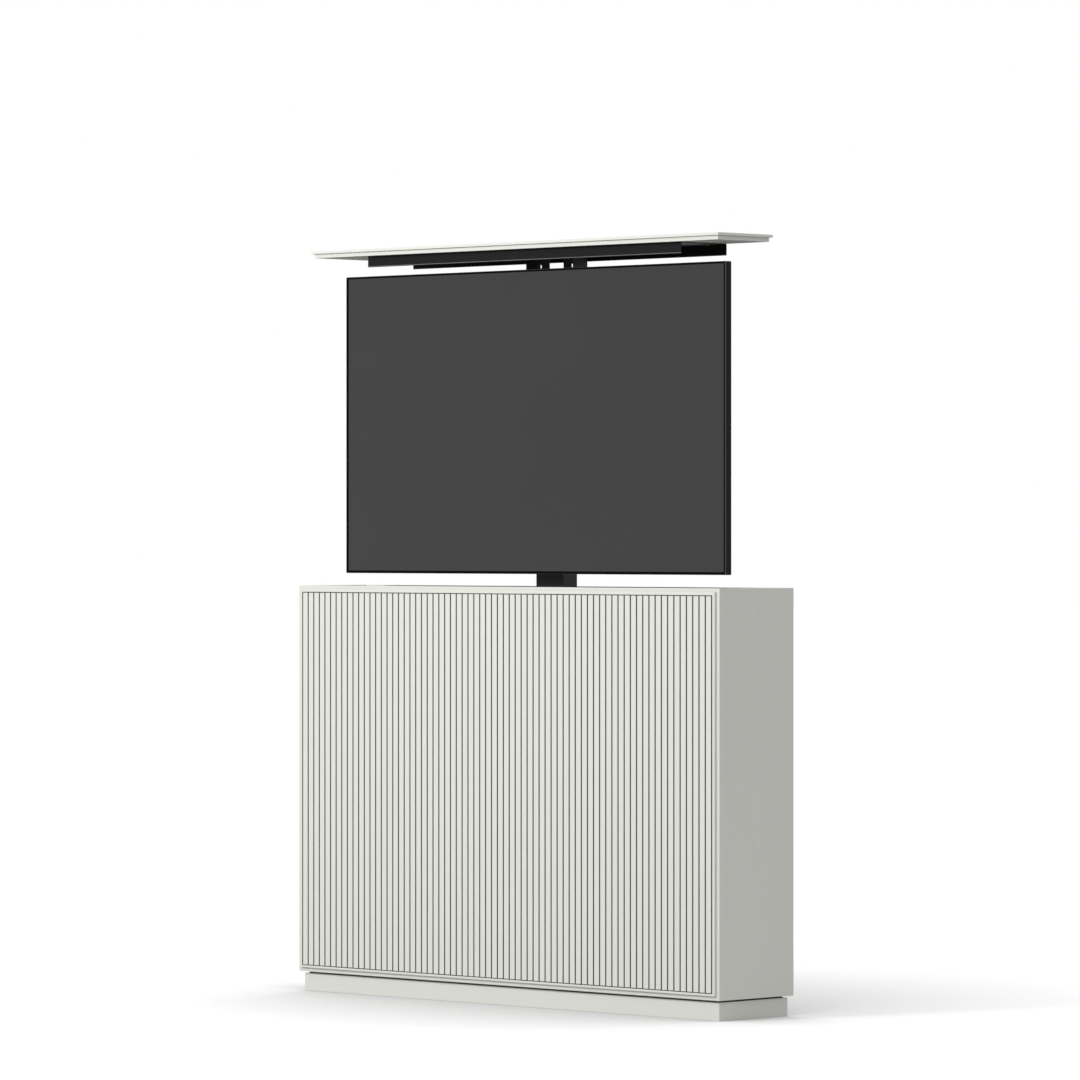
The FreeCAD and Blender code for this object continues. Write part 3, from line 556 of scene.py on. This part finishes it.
def masked(name, coated, axis, *bands):
    """A copy of a finish that turns to a further colour across each band, (start, stop, colour), of the
    place along an axis."""
    made = coated.copy()
    made.name = name
    tree = made.node_tree
    base = tree.nodes["Principled BSDF"].inputs["Base Color"]
    place = add(tree, "ShaderNodeTexCoord").outputs["Object"]
    along = add(tree, "ShaderNodeSeparateXYZ", {"Vector": place}).outputs[axis]
    for start, stop, shade in bands:
        share = add(tree, "ShaderNodeMapRange", {"Value": along, "From Min": start, "From Max": stop})
        both = add(tree, "ShaderNodeMix", {0: share.outputs["Result"], 6: base.links[0].from_socket,
                                           7: shade}, data_type="RGBA")
        tree.links.new(both.outputs[2], base)
    return made


def solder_masked_board():
    """Glass-fibre circuit board under green solder mask, with its copper tracks raised beneath it."""
    name = "solder_masked_board"
    if name in bpy.data.materials:
        return bpy.data.materials[name]
    mask = bpy.context.scene.lift_cabinet.colours.solder_mask
    made, tree, shader, place = surface(name, mask)
    shader.inputs["Roughness"].default_value = 0.3
    turned_up = add(tree, "ShaderNodeMapping", {"Vector": place, "Rotation": (QUARTER, 0.0, 0.0)})
    # tracks 3 mm apart
    tracks = add(tree, "ShaderNodeTexBrick",
                 {"Vector": turned_up.outputs["Vector"], "Scale": 1.0, "Mortar Size": 0.35 * MM,
                  "Mortar Smooth": 0.2, "Brick Width": 22 * MM, "Row Height": 3 * MM,
                  "Color1": tinted(mask, 1.5), "Color2": tinted(mask, 1.25),
                  "Mortar": tinted(mask, 0.8)}, [shader.inputs["Base Color"]])
    add(tree, "ShaderNodeBump", {"Height": tracks.outputs["Fac"], "Distance": 0.05 * MM},
        [shader.inputs["Normal"]], invert=True)
    return made


def coat(made, slot, *nodes):
    """Gives packed parts that keep their shape a finish."""
    for node in nodes:
        part = frame["nodes"][node]
        part.data.materials.clear()
        part.data.materials.append(made)


# ---- cabinet
class TVLIFT_OT_plinth(Operator):
    """Four lacquered boards on edge under the body, rebated along the top"""
    bl_idname = "tvlift.plinth"
    bl_label = "Plinth"

    def execute(self, context):
        """The rebate's lacquer is painted dark as painted shade, so that it reads as a gap."""
        settings = context.scene.lift_cabinet
        front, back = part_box("plinth_front")[1][1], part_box("plinth_back")[0][1]
        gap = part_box("plinth_front")[1][2] - settings.cabinet.shadow_gap
        # painted shade: the lacquer turns dark above the rebate's floor
        gap_shade_band = gap - 0.1 * MM, gap + 0.1 * MM, settings.colours.shadow_gap
        gap_shaded = [masked("shadow_gap_lacquer." + way, finish("sprayed_lacquer." + way), "Z", gap_shade_band)
                   for way in "XY"]
        for node, *seams in (("plinth_front", front), ("plinth_back", back),
                             ("plinth_left", front, back), ("plinth_right", front, back)):
            eased_copy("lacquered_" + node, node, gap_shaded[len(seams) - 1],
                       settings.cabinet.board_ease * 0.5, [(1, seam) for seam in seams])
        return {"FINISHED"}


class TVLIFT_OT_carcass(Operator):
    """Sides, front board and rear top board, eased where they show and glued flush where they meet"""
    bl_idname = "tvlift.carcass"
    bl_label = "Carcass"

    def execute(self, context):
        ease = context.scene.lift_cabinet.cabinet.board_ease
        level = finish("sprayed_lacquer.X")
        low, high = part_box("rear_top_board")
        front = (1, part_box("front_board")[1][1])
        left, right = (0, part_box("left_side")[1][0]), (0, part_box("right_side")[0][0])
        for node, made, glued in (("front_board", level, [front]),
                                  ("left_side", finish("sprayed_lacquer.Z"), [front, left]),
                                  ("right_side", finish("sprayed_lacquer.Z"), [front, right]),
                                  ("rear_top_board", level, [(0, low[0]), (0, high[0])])):
            eased_copy("lacquered_" + node, node, made, ease, glued)
        coat(level, "painted_board", "bottom_board", "back_panel", "ledge_front", "ledge_rear")
        coat(finish("sprayed_lacquer.Y"), "painted_board", "ledge_left", "ledge_right")
        coat(finish("planed_pine"), "raw_softwood", "batten_left", "batten_right")
        coat(finish("turned_beech"), "raw_softwood", "carcass_dowels")
        return {"FINISHED"}


class TVLIFT_OT_fluted_front(Operator):
    """The milled panel of flat slats"""
    bl_idname = "tvlift.fluted_front"
    bl_label = "Fluted front"

    def execute(self, context):
        """A point's height over the groove floor is the smaller of two steps, one from the slat's
        sides and one from its ends. A step is a wall, drawn in 0.05 mm, with a quarter round on top.
        The slats' faces take the full coat, and the grooves' lacquer is painted dark as painted shade,
        so that the slats stand out."""
        settings = context.scene.lift_cabinet
        sizes, depth = settings.cabinet, settings.cabinet.groove_depth
        low, high = corners_of("fluted_panel")
        run, rise = quarter_round(sizes.slat_ease)
        run = np.r_[0.0, run + 0.05 * MM]
        rise = np.r_[0.0, rise + depth - sizes.slat_ease]
        there_and_back = np.r_[rise, rise[::-1]]

        def walls(start, end):
            start, end = np.atleast_1d(start)[:, None], np.atleast_1d(end)[:, None]
            return np.concatenate([start + run, end - run[::-1]], axis=1).ravel()

        pitch = (high[0] - low[0] - sizes.groove_width) / sizes.slat_count
        starts = low[0] + sizes.groove_width + pitch * np.arange(sizes.slat_count)
        across = np.r_[low[0], walls(starts, starts + pitch - sizes.groove_width), high[0]]
        up = np.r_[low[2], walls(low[2] + sizes.end_groove, high[2] - sizes.end_groove), high[2]]
        across_rise = np.r_[0.0, np.tile(there_and_back, sizes.slat_count), 0.0]
        up_rise = np.r_[0.0, there_and_back, 0.0]
        height = np.minimum(across_rise[None], up_rise[:, None])
        x, z = np.meshgrid(across, up)
        face = np.stack([x, low[1] + depth - height, z], axis=-1)
        # painted shade: the lacquer turns dark deeper than a tenth to three tenths of the groove
        groove_shade_band = low[1] + depth * 0.1, low[1] + depth * 0.3, settings.colours.groove
        groove_shaded = masked("grooved_lacquer", finish("sprayed_lacquer.Z"), "Y", groove_shade_band)
        piece("lacquered_fluted_front", backed(face, high[1]), groove_shaded, "fluted_panel")
        return {"FINISHED"}


class TVLIFT_OT_bead_frame(Operator):
    """Four mitred bead strips round the slats"""
    bl_idname = "tvlift.bead_frame"
    bl_label = "Bead frame"

    def execute(self, context):
        """A strip's section is a flat with a quarter round on each edge. It is carried from mitre to
        mitre, so each line of the section runs between points drawn in from the mitres' outer and inner
        corners. The walls take the painted shade grey, so they read darker as shaded, but for the
        uprights' outer ones."""
        ease = context.scene.lift_cabinet.cabinet.bead_ease
        top, bottom = corners_of("bead_top"), corners_of("bead_bottom")
        outer_x, inner_x = top[1][0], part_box("bead_right")[0][0]
        face_y, wall_y = top[0][1], top[1][1]
        outer, inner = (np.array([(-x, below), (x, below), (x, above), (-x, above)])
                        for x, below, above in ((outer_x, bottom[0][2], top[1][2]),
                                                (inner_x, bottom[1][2], top[0][2])))
        run, rise = quarter_round(ease, 4)
        run = np.r_[0.0, run][:, None]
        rise = np.r_[0.0, rise + wall_y - face_y - ease]
        rise = np.r_[rise, rise[::-1]]
        inner_wall = len(rise) - 2
        for i, (side, way, shaded_walls) in enumerate((("bottom", "X", [0, inner_wall]),
                                                 ("right", "Z", [inner_wall]),
                                                 ("top", "X", [0, inner_wall]),
                                                 ("left", "Z", [inner_wall]))):
            ends = []
            for j in (i, (i + 1) % 4):
                inward = np.sign(inner[j] - outer[j])
                ends.append(np.concatenate([outer[j] + inward * run, (inner[j] - inward * run)[::-1]]))
            flat = np.stack(ends)
            face = np.insert(flat, 1, wall_y - rise, axis=-1)
            made = piece("lacquered_bead_" + side, backed(face, wall_y), finish("sprayed_lacquer." + way),
                         "bead_" + side)
            recoated(made, finish("grey_primer"), shaded_walls)
        return {"FINISHED"}


class TVLIFT_OT_lid(Operator):
    """The lid board, whose lip stands out over a smaller lower part"""
    bl_idname = "tvlift.lid"
    bl_label = "Lid"

    def execute(self, context):
        """The edge's section, as inset and height from the underside up, is carried round the board:
        quarter round, lower wall, rebate, quarter round, lip, quarter round. The underside and the lip's
        underside take the painted shade grey, which makes them read darker as shaded."""
        sizes = context.scene.lift_cabinet.cabinet
        low, high = corners_of("lid_board")
        ease, rebate, lip_low = sizes.lid_ease, sizes.lid_rebate, high[2] - sizes.lid_lip
        run, rise = quarter_round(ease)
        inset = np.r_[rebate + run[::-1], rebate, run[::-1], run]
        level = np.r_[low[2] + ease - rise[::-1], lip_low, lip_low + ease - rise[::-1],
                      high[2] - ease + rise]
        rings = framed(list(zip(inset, level)), low, high, ease, 2)
        made = piece("lacquered_lid", stacked(rings), finish("sprayed_lacquer.X"), "lid_board")
        around = rings.shape[1]
        lip_underside = np.arange(around) + len(run) * around
        underside = (len(level) - 1) * around
        recoated(made, finish("grey_primer"), np.append(lip_underside, underside))
        return {"FINISHED"}


# ---- fasteners
def solids_of(node):
    """Lowest and highest corners of each separate solid of a packed part.

    Corners are merged by place, and each takes the smallest number it meets over the faces, until
    every solid holds a single number.
    """
    mesh = frame["nodes"][node].data
    points = values(mesh.vertices, "co", 3)
    merged = np.unique(np.round(points * 1e6), axis=0, return_inverse=True)[1].ravel()
    corners = merged[values(mesh.loops, "vertex_index", 1, int).reshape(-1, 3)]
    label, before = np.arange(merged.max() + 1), None
    while before is None or np.any(label != before):
        before = label.copy()
        np.minimum.at(label, corners.ravel(), np.repeat(label[corners].min(axis=1), 3))
    solid = np.unique(label[merged], return_inverse=True)[1]
    low = np.full((solid.max() + 1, 3), np.inf)
    high = -low
    np.minimum.at(low, solid, points)
    np.maximum.at(high, solid, points)
    return low, high


def hexagon(angle):
    """Distance from the middle to a hexagon's side: half its width over the folded angle's cosine."""
    return 0.5 / np.cos((angle + math.pi / 6) % (math.pi / 3) - math.pi / 6)


def cross(angle):
    """Distance from the middle to a cross: the nearer of an arm's end and an arm's side."""
    folded = np.abs((angle + math.pi / 4) % QUARTER - math.pi / 4)
    return np.minimum(0.55 / np.cos(folded), 0.14 / np.sin(np.maximum(folded, 0.01)))


def driven(node, direction, shank, head, rim, mouth, depth, chosen=slice(None)):
    """Screws for a packed part's solids, driven along a direction.

    Rings run from the point up the shank, under the head and over its rim, given as shares of its
    radius and height, then down into the mouth, whose outline is a share of the head's radius.
    """
    direction = np.asarray(direction, float)
    low, high = (corner[chosen] for corner in solids_of(node))
    extent = (high - low)[0]
    along = abs(extent @ direction)
    radius = np.sort(extent)[0] / 2
    angle = evenly(48)
    full, mouth = np.ones_like(angle), mouth(angle)
    rows = [(full * shank * 0.6, -along), (full * shank, shank * 0.7 - along), (full * shank, -head)]
    rows += [(full * radius * share, (rise - 1) * head) for share, rise in rim]
    rows += [(mouth * radius * share, -depth * fall)
             for share, fall in ((1.0, 0.0), (0.95, 0.2), (0.8, 1.0))]
    radii, levels = (np.array(column) for column in zip(*rows))
    screw = aimed(stacked(turned(radii, angle, levels[:, None])), -direction)
    return copied(screw, (low + high) / 2 - direction * along / 2)


PAN_HEAD = ((0.97, 0.0), (1.0, 0.15), (0.99, 0.5), (0.9, 0.78), (0.75, 0.93), (0.62, 1.0))
CAP_HEAD = ((0.96, 0.0), (1.0, 0.06), (1.0, 0.9), (0.97, 0.97), (0.92, 1.0))


class TVLIFT_OT_fasteners(Operator):
    """Wood screws with a cross recess and cap bolts with a hexagon socket"""
    bl_idname = "tvlift.fasteners"
    bl_label = "Fasteners"

    def execute(self, context):
        """A wood screw is given by its shank's radius and its head's height, in mm. Every cap bolt is
        an M6, and the tray's screws are 4 mm."""
        zinc, oxide = finish("zinc_plated_steel"), finish("black_oxide_steel")
        bolt = 3.0 * MM, 4.0 * MM, CAP_HEAD, hexagon, 2.0 * MM
        pan = 2.0 * MM, 2.5 * MM, PAN_HEAD, cross, 1.5 * MM
        for node, direction, shank, head in (("back_panel_screws", (0, -1, 0), 2.0, 2.5),
                                             ("control_box_screws", (0, 1, 0), 2.0, 2.5),
                                             ("base_plate_screws", (0, 0, -1), 3.5, 4.0)):
            shape = driven(node, direction, shank * MM, head * MM, PAN_HEAD, cross, head * 0.6 * MM)
            piece("zinc_" + node, shape, zinc, node)
        foot = solids_of("post_bolts")[0][:, 2]
        foot = foot < foot.mean()
        for node, drives in (("tray_screws", [((0, 0, 1), *pan)]),
                             ("bracket_bolts", [((0, -1, 0), *bolt)]),
                             ("tv_mount_screws", [((0, -1, 0), *bolt)]),
                             ("post_bolts", [((0, 0, -1), *bolt, foot), ((0, 0, 1), *bolt, ~foot)])):
            shape = joined(*(driven(node, *drive) for drive in drives))
            piece("black_" + node, shape, oxide, node)
        return {"FINISHED"}


# ---- lift
class TVLIFT_OT_column(Operator):
    """Three powder-coated tubes with their plastic guides, on the foot plate"""
    bl_idname = "tvlift.column"
    bl_label = "Column"

    def execute(self, context):
        ease = context.scene.lift_cabinet.lift.steel_ease
        # the satin coat is painted lighter, to make up for the shade that the column stands in
        coated, nylon = finish("satin_powder_coated_steel"), finish("moulded_nylon")
        for node in ("outer_tube", "mid_tube", "inner_tube", "column_base_plate"):
            eased_copy("coated_" + node, node, coated, ease)
        for node in ("outer_collar", "mid_collar"):
            eased_copy("nylon_" + node, node, nylon, ease)
        coat(nylon, "black_nylon", "mid_foot_glide", "inner_foot_glide")
        coat(finish("turned_bronze"), "nut_bronze", "mid_nut", "inner_nut")
        return {"FINISHED"}


class TVLIFT_OT_drive(Operator):
    """Gearbox, ribbed motor and the two drive screws"""
    bl_idname = "tvlift.drive"
    bl_label = "Drive"

    def execute(self, context):
        sizes = context.scene.lift_cabinet.lift
        coat(finish("die_cast_aluminium"), "gearbox_aluminium", "gearbox")
        for node, bore in (("lower_screw", None), ("upper_screw", sizes.screw_bore)):
            piece("threaded_" + node, self.thread(sizes, node, bore), finish("rolled_screw_steel"), node,
                  math.radians(60))
        piece("painted_motor", self.motor(sizes), finish("dipped_motor_paint"), "motor")
        return {"FINISHED"}

    @staticmethod
    def thread(sizes, node, bore):
        """Rings of a right-hand thread, and of its bore if it has one. A ridge's phase is the height
        over the pitch less the starts times the share of a turn, and a point's height over the root is
        a flat-topped cosine of it. A ring's spacing is the lead over the points round it, so that
        ridges follow the grid."""
        low, high = corners_of(node)
        starts, around = 4, 24
        lead = sizes.thread_pitch * starts
        level = np.linspace(low[2], high[2], round((high[2] - low[2]) / (lead / around)) + 1)[:, None]
        angle = evenly(around)
        phase = level / sizes.thread_pitch - starts * angle / TURN
        ridge = np.clip(0.5 + 1.1 * np.cos(TURN * phase), 0, 1)
        ridge[[0, -1]] = 0
        radius = (high[0] - low[0]) / 2 - sizes.thread_depth * (1 - ridge)
        if bore:
            radius = np.concatenate([radius, np.full((2, around), bore)])
            level = np.concatenate([level, level[[-1, 0]]])
        rings = turned(radius, angle, level, centre=(low + high) / 2)
        return looped(rings) if bore else stacked(rings)

    @staticmethod
    def motor(sizes):
        """Rings along X as (radius, place, share of rib). A rib's height is the positive part of a
        cosine round the housing. What would lie below the foot plate's top is brought up to it."""
        low, high = corners_of("motor")
        flange, ease = (high[1] - low[1]) / 2, 1.0 * MM
        body, cap, neck = flange - 5 * MM, flange - 7.5 * MM, flange - 17 * MM
        valley = body - sizes.rib_depth
        start, face, end = low[0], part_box("outer_tube")[1][0], high[0]
        back, body_end = face + 4 * MM, end - 12 * MM
        first, last = face + 15 * MM, body_end - 11 * MM
        rows = np.array([(neck - ease, start, 0), (neck, start + ease, 0), (neck, face, 0),
                         (flange - ease, face, 0), (flange, face + ease, 0), (flange, back - ease, 0),
                         (flange - ease, back, 0), (valley, back, 0), (body, back, 0),
                         (body, first - ease, 0), (valley, first, 0), (valley, first + ease, 1),
                         (valley, last - ease, 1), (valley, last, 0), (body, last + ease, 0),
                         (body, body_end - ease, 0), (body - ease, body_end, 0), (cap, body_end, 0),
                         (cap, end - ease, 0), (cap - ease, end, 0)])
        angle = evenly(sizes.rib_count * 6)
        rib = np.clip(0.3 + np.cos(angle * sizes.rib_count), 0, 1)
        radius = rows[:, :1] + rows[:, 2:] * sizes.rib_depth * rib
        rings = turned(radius, angle, rows[:, 1:2], 0, (0.0, (low[1] + high[1]) / 2, high[2] - flange))
        rings[..., 2] = np.maximum(rings[..., 2], low[2])
        return stacked(rings)


class TVLIFT_OT_head(Operator):
    """Head plate, brackets, drilled posts and the channel under the lid"""
    bl_idname = "tvlift.head"
    bl_label = "Lift head"

    def execute(self, context):
        """A band on the channel's lower folds is painted light, a painted highlight for the fine light
        line that the folds catch.
        """
        settings = context.scene.lift_cabinet
        # the posts' satin coat is painted lighter, to make up for the shade under the lid
        matt, satin_lifted_for_shade = finish("matt_powder_coated_steel"), finish("satin_powder_coated_steel")
        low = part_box("lid_tray")[0][2]
        # painted highlight: a light band from 1 to 2.5 mm above the channel's bottom
        fold_highlighted = masked("rubbed_powder_coated_steel", matt, "Z",
                        (low + 2.5 * MM, low + 2.2 * MM, settings.colours.painted_fold_highlight),
                        (low + 1.3 * MM, low + 1.0 * MM, settings.colours.powder_coat))
        for node, coated in (("head_plate", matt), ("carrier_plate", matt), ("vesa_plate", matt),
                             ("post_left", satin_lifted_for_shade), ("post_right", satin_lifted_for_shade), ("lid_tray", fold_highlighted)):
            eased_copy("coated_" + node, node, coated, settings.lift.steel_ease)
        return {"FINISHED"}


class TVLIFT_OT_controls(Operator):
    """Control box on the back panel, and the cable grommet beside it"""
    bl_idname = "tvlift.controls"
    bl_label = "Controls"

    def execute(self, context):
        for node in ("control_box", "control_cover"):
            eased_copy("moulded_" + node, node, finish("moulded_abs"), 0.6 * MM)
        coat(solder_masked_board(), "circuit_board", "control_board")
        piece("moulded_cable_grommet", self.grommet(), finish("moulded_nylon"), "cable_grommet")
        return {"FINISHED"}

    @staticmethod
    def grommet():
        """The section, as (radius, place along Y), runs up the barrel, round the flange and back down
        the bore, and is turned round."""
        low, high = corners_of("cable_grommet")
        flange, start, end = (high[0] - low[0]) / 2, low[1], high[1]
        barrel, bore, seat = flange - 7 * MM, flange - 10 * MM, end - 2 * MM
        ease, small = 0.8 * MM, 0.3 * MM
        cut = 0.3 * ease
        section = np.array([(barrel, start + ease), (barrel, seat), (flange - small, seat),
                            (flange, seat + small), (flange, end - ease), (flange - cut, end - cut),
                            (flange - ease, end), (bore + ease, end), (bore + cut, end - cut),
                            (bore, end - ease), (bore, start + ease), (bore + ease, start),
                            (barrel - ease, start)])
        angle = evenly(64)
        radius = np.repeat(section[:, :1], len(angle), axis=1)
        return looped(turned(radius, angle, section[:, 1:], 1, (low + high) / 2))


# ---- television
class TVLIFT_OT_display(Operator):
    """The television's moulded frame, its glass and what the back cover hides"""
    bl_idname = "tvlift.display"
    bl_label = "Display"

    def execute(self, context):
        """Along the bezel's section, faces 1 to 3 are its polished edge, its colour a painted highlight,
        and 4 to 7 its painted rim.
        """
        shape, sections = self.bezel(context.scene.lift_cabinet.television)
        made = piece("moulded_bezel", shape, finish("moulded_abs"), "tv_bezel")
        section = np.repeat(np.arange(sections), len(shape[0]) // sections)
        for name, first, last in (("polished_rim", 1, 3), ("painted_rim", 4, 7)):
            recoated(made, finish(name), np.flatnonzero((section >= first) & (section <= last)))
        low, high = corners_of("tv_screen")
        piece("glass_screen", slab(low, high, 0.3 * MM, 1.0 * MM), finish("display_glass"), "tv_screen")
        coat(finish("rolled_aluminium_sheet"), "chassis_aluminium", "tv_chassis")
        coat(solder_masked_board(), "circuit_board", "tv_power_board", "tv_main_board")
        return {"FINISHED"}

    @staticmethod
    def bezel(sizes):
        """The section runs from the back rim up the outside, round the front edge, over the lip to the
        view, back under the lip and down the inside. It is carried round the four sides as insets.
        Gives the shape and how many lines its section has."""
        low, high = corners_of("tv_bezel")
        run, rise = quarter_round(sizes.moulded_ease)
        view = np.array([sizes.bezel_side, sizes.bezel_side, sizes.bezel_bottom, sizes.bezel_top])
        front, back, lip, small = low[1], high[1], low[1] + sizes.bezel_lip, 0.3 * MM
        rows = [(0.0, back)]
        rows += [(r, front + sizes.moulded_ease - s) for r, s in zip(run, rise)]
        rows += [(view - small, front), (view - small * 0.3, front + small * 0.3), (view, front + small),
                 (view, lip), (sizes.wall, lip), (sizes.wall, back)]
        radius = [max(2.5 * MM - np.min(inset), 0.4 * MM) for inset, _ in rows]
        return looped(framed(rows, low, high, radius)), len(rows)


class TVLIFT_OT_rear_cover(Operator):
    """The television's moulded back, a thin shell with a raised middle, vents and openings for plugs"""
    bl_idname = "tvlift.rear_cover"
    bl_label = "Rear cover"

    def execute(self, context):
        low, high = corners_of("tv_rear_cover")
        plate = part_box("vesa_plate")
        middle = (plate[0][0] + plate[1][0]) / 2
        wall = context.scene.lift_cabinet.television.wall
        mesh = carved("moulded_rear_cover", self.shell(low, high, middle, wall),
                      self.openings(low, high, middle))
        finished("moulded_rear_cover", mesh, finish("moulded_abs"), "tv_rear_cover")
        return {"FINISHED"}

    @staticmethod
    def shell(low, high, middle, wall):
        """Rings from the inside of the raised middle out to the rim, over it and up the outside, closed
        at both ends. The middle's outline is drawn in by the draft over its depth."""
        half, bottom, height = 360 * MM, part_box("tv_bezel")[0][2] + 50 * MM, 430 * MM
        draft, ease, edge, back = 4 * MM, 2.0 * MM, low[1] + 10 * MM, high[1]
        raised = np.array([middle - half - low[0], high[0] - middle - half, bottom - low[2],
                           high[2] - bottom - height])
        run, rise = quarter_round(ease, 4)
        rows = [(raised + draft + wall, back - wall), (raised + wall, edge - wall), (wall, edge - wall),
                (wall, low[1]), (0.0, low[1])]
        rows += [(r, edge - ease + s) for r, s in zip(run, rise)]
        rows += [(raised, edge)]
        rows += [(raised + draft - ease + r, back - ease + s) for r, s in zip(run, rise)]
        radius = [2.5 * MM if np.max(inset) < 10 * MM else 12 * MM for inset, _ in rows]
        return stacked(framed(rows, low, high, radius))

    @staticmethod
    def openings(low, high, middle):
        """Slots and rounded windows, each a slab right through the wall that it opens."""
        def window(x, z, width, height, radius):
            half = np.array([width / 2, 12 * MM, height / 2])
            centre = np.array([x, high[1], z])
            return slab(centre - half, centre + half, 0.2 * MM, radius)

        slot_pitch, slot_height = 9.0 * MM, 452 * MM
        slot_x = middle + np.concatenate([np.arange(-34, -4), np.arange(5, 35)]) * slot_pitch
        slot_z = np.full_like(slot_x, low[2] + slot_height)
        vents = copied(window(0.0, 0.0, 3 * MM, 22 * MM, 1.4 * MM),
                       np.stack([slot_x, np.zeros_like(slot_x), slot_z], axis=-1))
        bores = copied(window(0.0, 0.0, 7 * MM, 7 * MM, 3.45 * MM),
                       sum(solids_of("tv_mount_screws")) / 2 * (1, 0, 1))
        plugs = [window(middle + x * MM, low[2] + 84 * MM, width * MM, height * MM, radius * MM)
                 for x, width, height, radius in ((255, 118, 20, 4), (-290, 30, 22, 3))]
        return joined(vents, bores, *plugs)


# ---- stage
WHITE = (1.0, 1.0, 1.0, 1.0)
CAMERA_PLACE = (10.0397, -10.0892, 1.0709)
CAMERA_TURN = math.radians(44.846)
SENSOR_WIDTH, FOCAL_LENGTH = 36.0, 205.19  # mm
UPWARD_SHIFT = -0.000315  # share of the frame
FARTHEST_VIEW = 200.0
FLOOR_REACH = 60.0


class TVLIFT_OT_stage(Operator):
    """Floor, white surroundings, soft studio light and camera"""
    bl_idname = "tvlift.stage"
    bl_label = "Studio"

    def execute(self, context):
        scene = context.scene
        scene.view_settings.view_transform = "Standard"
        settings = scene.lift_cabinet
        self.floor(settings.colours.floor, settings.studio)
        self.light(scene, settings.studio)
        lens = bpy.data.cameras.new("camera")
        lens.lens, lens.sensor_width = FOCAL_LENGTH, SENSOR_WIDTH
        lens.shift_y = UPWARD_SHIFT
        lens.clip_end = FARTHEST_VIEW
        camera = added("camera", lens)
        camera.location = CAMERA_PLACE
        camera.rotation_euler = (QUARTER, 0.0, CAMERA_TURN)
        scene.camera = camera
        return {"FINISHED"}

    @staticmethod
    def seen_directly(tree):
        """1 for rays from the camera and for reflected and refracted ones, else 0."""
        path = add(tree, "ShaderNodeLightPath").outputs
        seen = path["Is Camera Ray"]
        for ray in ("Is Glossy Ray", "Is Transmission Ray"):
            seen = add(tree, "ShaderNodeMath", {0: seen, 1: path[ray]}, operation="MAXIMUM").outputs[0]
        return seen

    @staticmethod
    def emptied(shaded):
        """The node tree of a material or world, emptied."""
        shaded.use_nodes = True
        shaded.node_tree.nodes.clear()
        return shaded.node_tree

    def floor(self, paint, studio):
        """A flat floor; what the lamps leave short of white is made up by a glow where the floor is seen
        directly. The glow is scaled by the open sky over each place to a power, which paints a contact
        shadow round the object."""
        mesh = bpy.data.meshes.new("studio_floor")
        mesh.from_pydata([(x * FLOOR_REACH, y * FLOOR_REACH, 0)
                          for x, y in ((-1, -1), (1, -1), (1, 1), (-1, 1))], [], [(0, 1, 2, 3)])
        made = bpy.data.materials.new("matt_studio_floor")
        tree = self.emptied(made)
        paper = add(tree, "ShaderNodeBsdfDiffuse", {"Color": paint})
        open_sky = add(tree, "ShaderNodeAmbientOcclusion", {"Distance": studio.floor_reach}, samples=16)
        lift = open_sky.outputs["AO"]
        for operation, factor in (("POWER", studio.floor_falloff), ("MULTIPLY", studio.floor_lift),
                                  ("MULTIPLY", self.seen_directly(tree))):
            lift = add(tree, "ShaderNodeMath", {0: lift, 1: factor}, operation=operation).outputs[0]
        glow = add(tree, "ShaderNodeEmission", {"Strength": lift})
        both = add(tree, "ShaderNodeAddShader", {0: paper.outputs[0], 1: glow.outputs[0]})
        add(tree, "ShaderNodeOutputMaterial", {"Surface": both.outputs[0]})
        mesh.materials.append(made)
        added("studio_floor", mesh)

    def light(self, scene, studio):
        """The object gets the even fill and the softbox, and what is seen directly is white."""
        scene.world = bpy.data.worlds.new("studio")
        tree = self.emptied(scene.world)
        fill = add(tree, "ShaderNodeBackground", {"Color": WHITE, "Strength": studio.fill})
        white = add(tree, "ShaderNodeBackground", {"Color": WHITE, "Strength": 1.0})
        shown = add(tree, "ShaderNodeMixShader", {0: self.seen_directly(tree), 1: fill.outputs[0],
                                                  2: white.outputs[0]})
        add(tree, "ShaderNodeOutputWorld", {"Surface": shown.outputs[0]})
        lamp = bpy.data.lights.new("softbox", "AREA")
        lamp.energy = studio.power
        lamp.size = studio.size
        softbox = added("softbox", lamp)
        softbox.rotation_euler = (QUARTER - studio.height, 0.0, -studio.turn)
        ahead = softbox.rotation_euler.to_matrix() @ Vector((0.0, 0.0, -1.0))
        softbox.location = Vector((0.0, 0.0, studio.aim)) - ahead * studio.distance
        softbox.visible_camera = False


operators = (TVLIFT_OT_plinth, TVLIFT_OT_carcass, TVLIFT_OT_fluted_front, TVLIFT_OT_bead_frame,
             TVLIFT_OT_lid, TVLIFT_OT_fasteners, TVLIFT_OT_column, TVLIFT_OT_drive, TVLIFT_OT_head,
             TVLIFT_OT_controls, TVLIFT_OT_display, TVLIFT_OT_rear_cover, TVLIFT_OT_stage)


class TVLIFT_PT_sidebar(Panel):
    """Sizes, colours and building steps of the TV lift cabinet"""
    bl_idname = "TVLIFT_PT_sidebar"
    bl_label = "TV Lift Cabinet"
    bl_space_type = "VIEW_3D"
    bl_region_type = "UI"
    bl_category = "Lift Cabinet"

    def draw(self, context):
        settings = context.scene.lift_cabinet
        for name in settings.__annotations__:
            part = getattr(settings, name)
            box = self.layout.box()
            for value in part.__annotations__:
                box.prop(part, value)
        for operator in operators:
            self.layout.operator(operator.bl_idname)


classes = (CabinetSizes, LiftSizes, TelevisionSizes, FinishColours, StudioLight, LiftCabinet, *operators,
           TVLIFT_PT_sidebar)


def register():
    for made in classes:
        bpy.utils.register_class(made)
    bpy.types.Scene.lift_cabinet = bpy.props.PointerProperty(type=LiftCabinet)


def unregister():
    del bpy.types.Scene.lift_cabinet
    for made in reversed(classes):
        bpy.utils.unregister_class(made)


def main():
    register()
    for operator in operators:
        getattr(bpy.ops.tvlift, operator.bl_idname.partition(".")[2])()


if __name__ == "__main__":
    main()
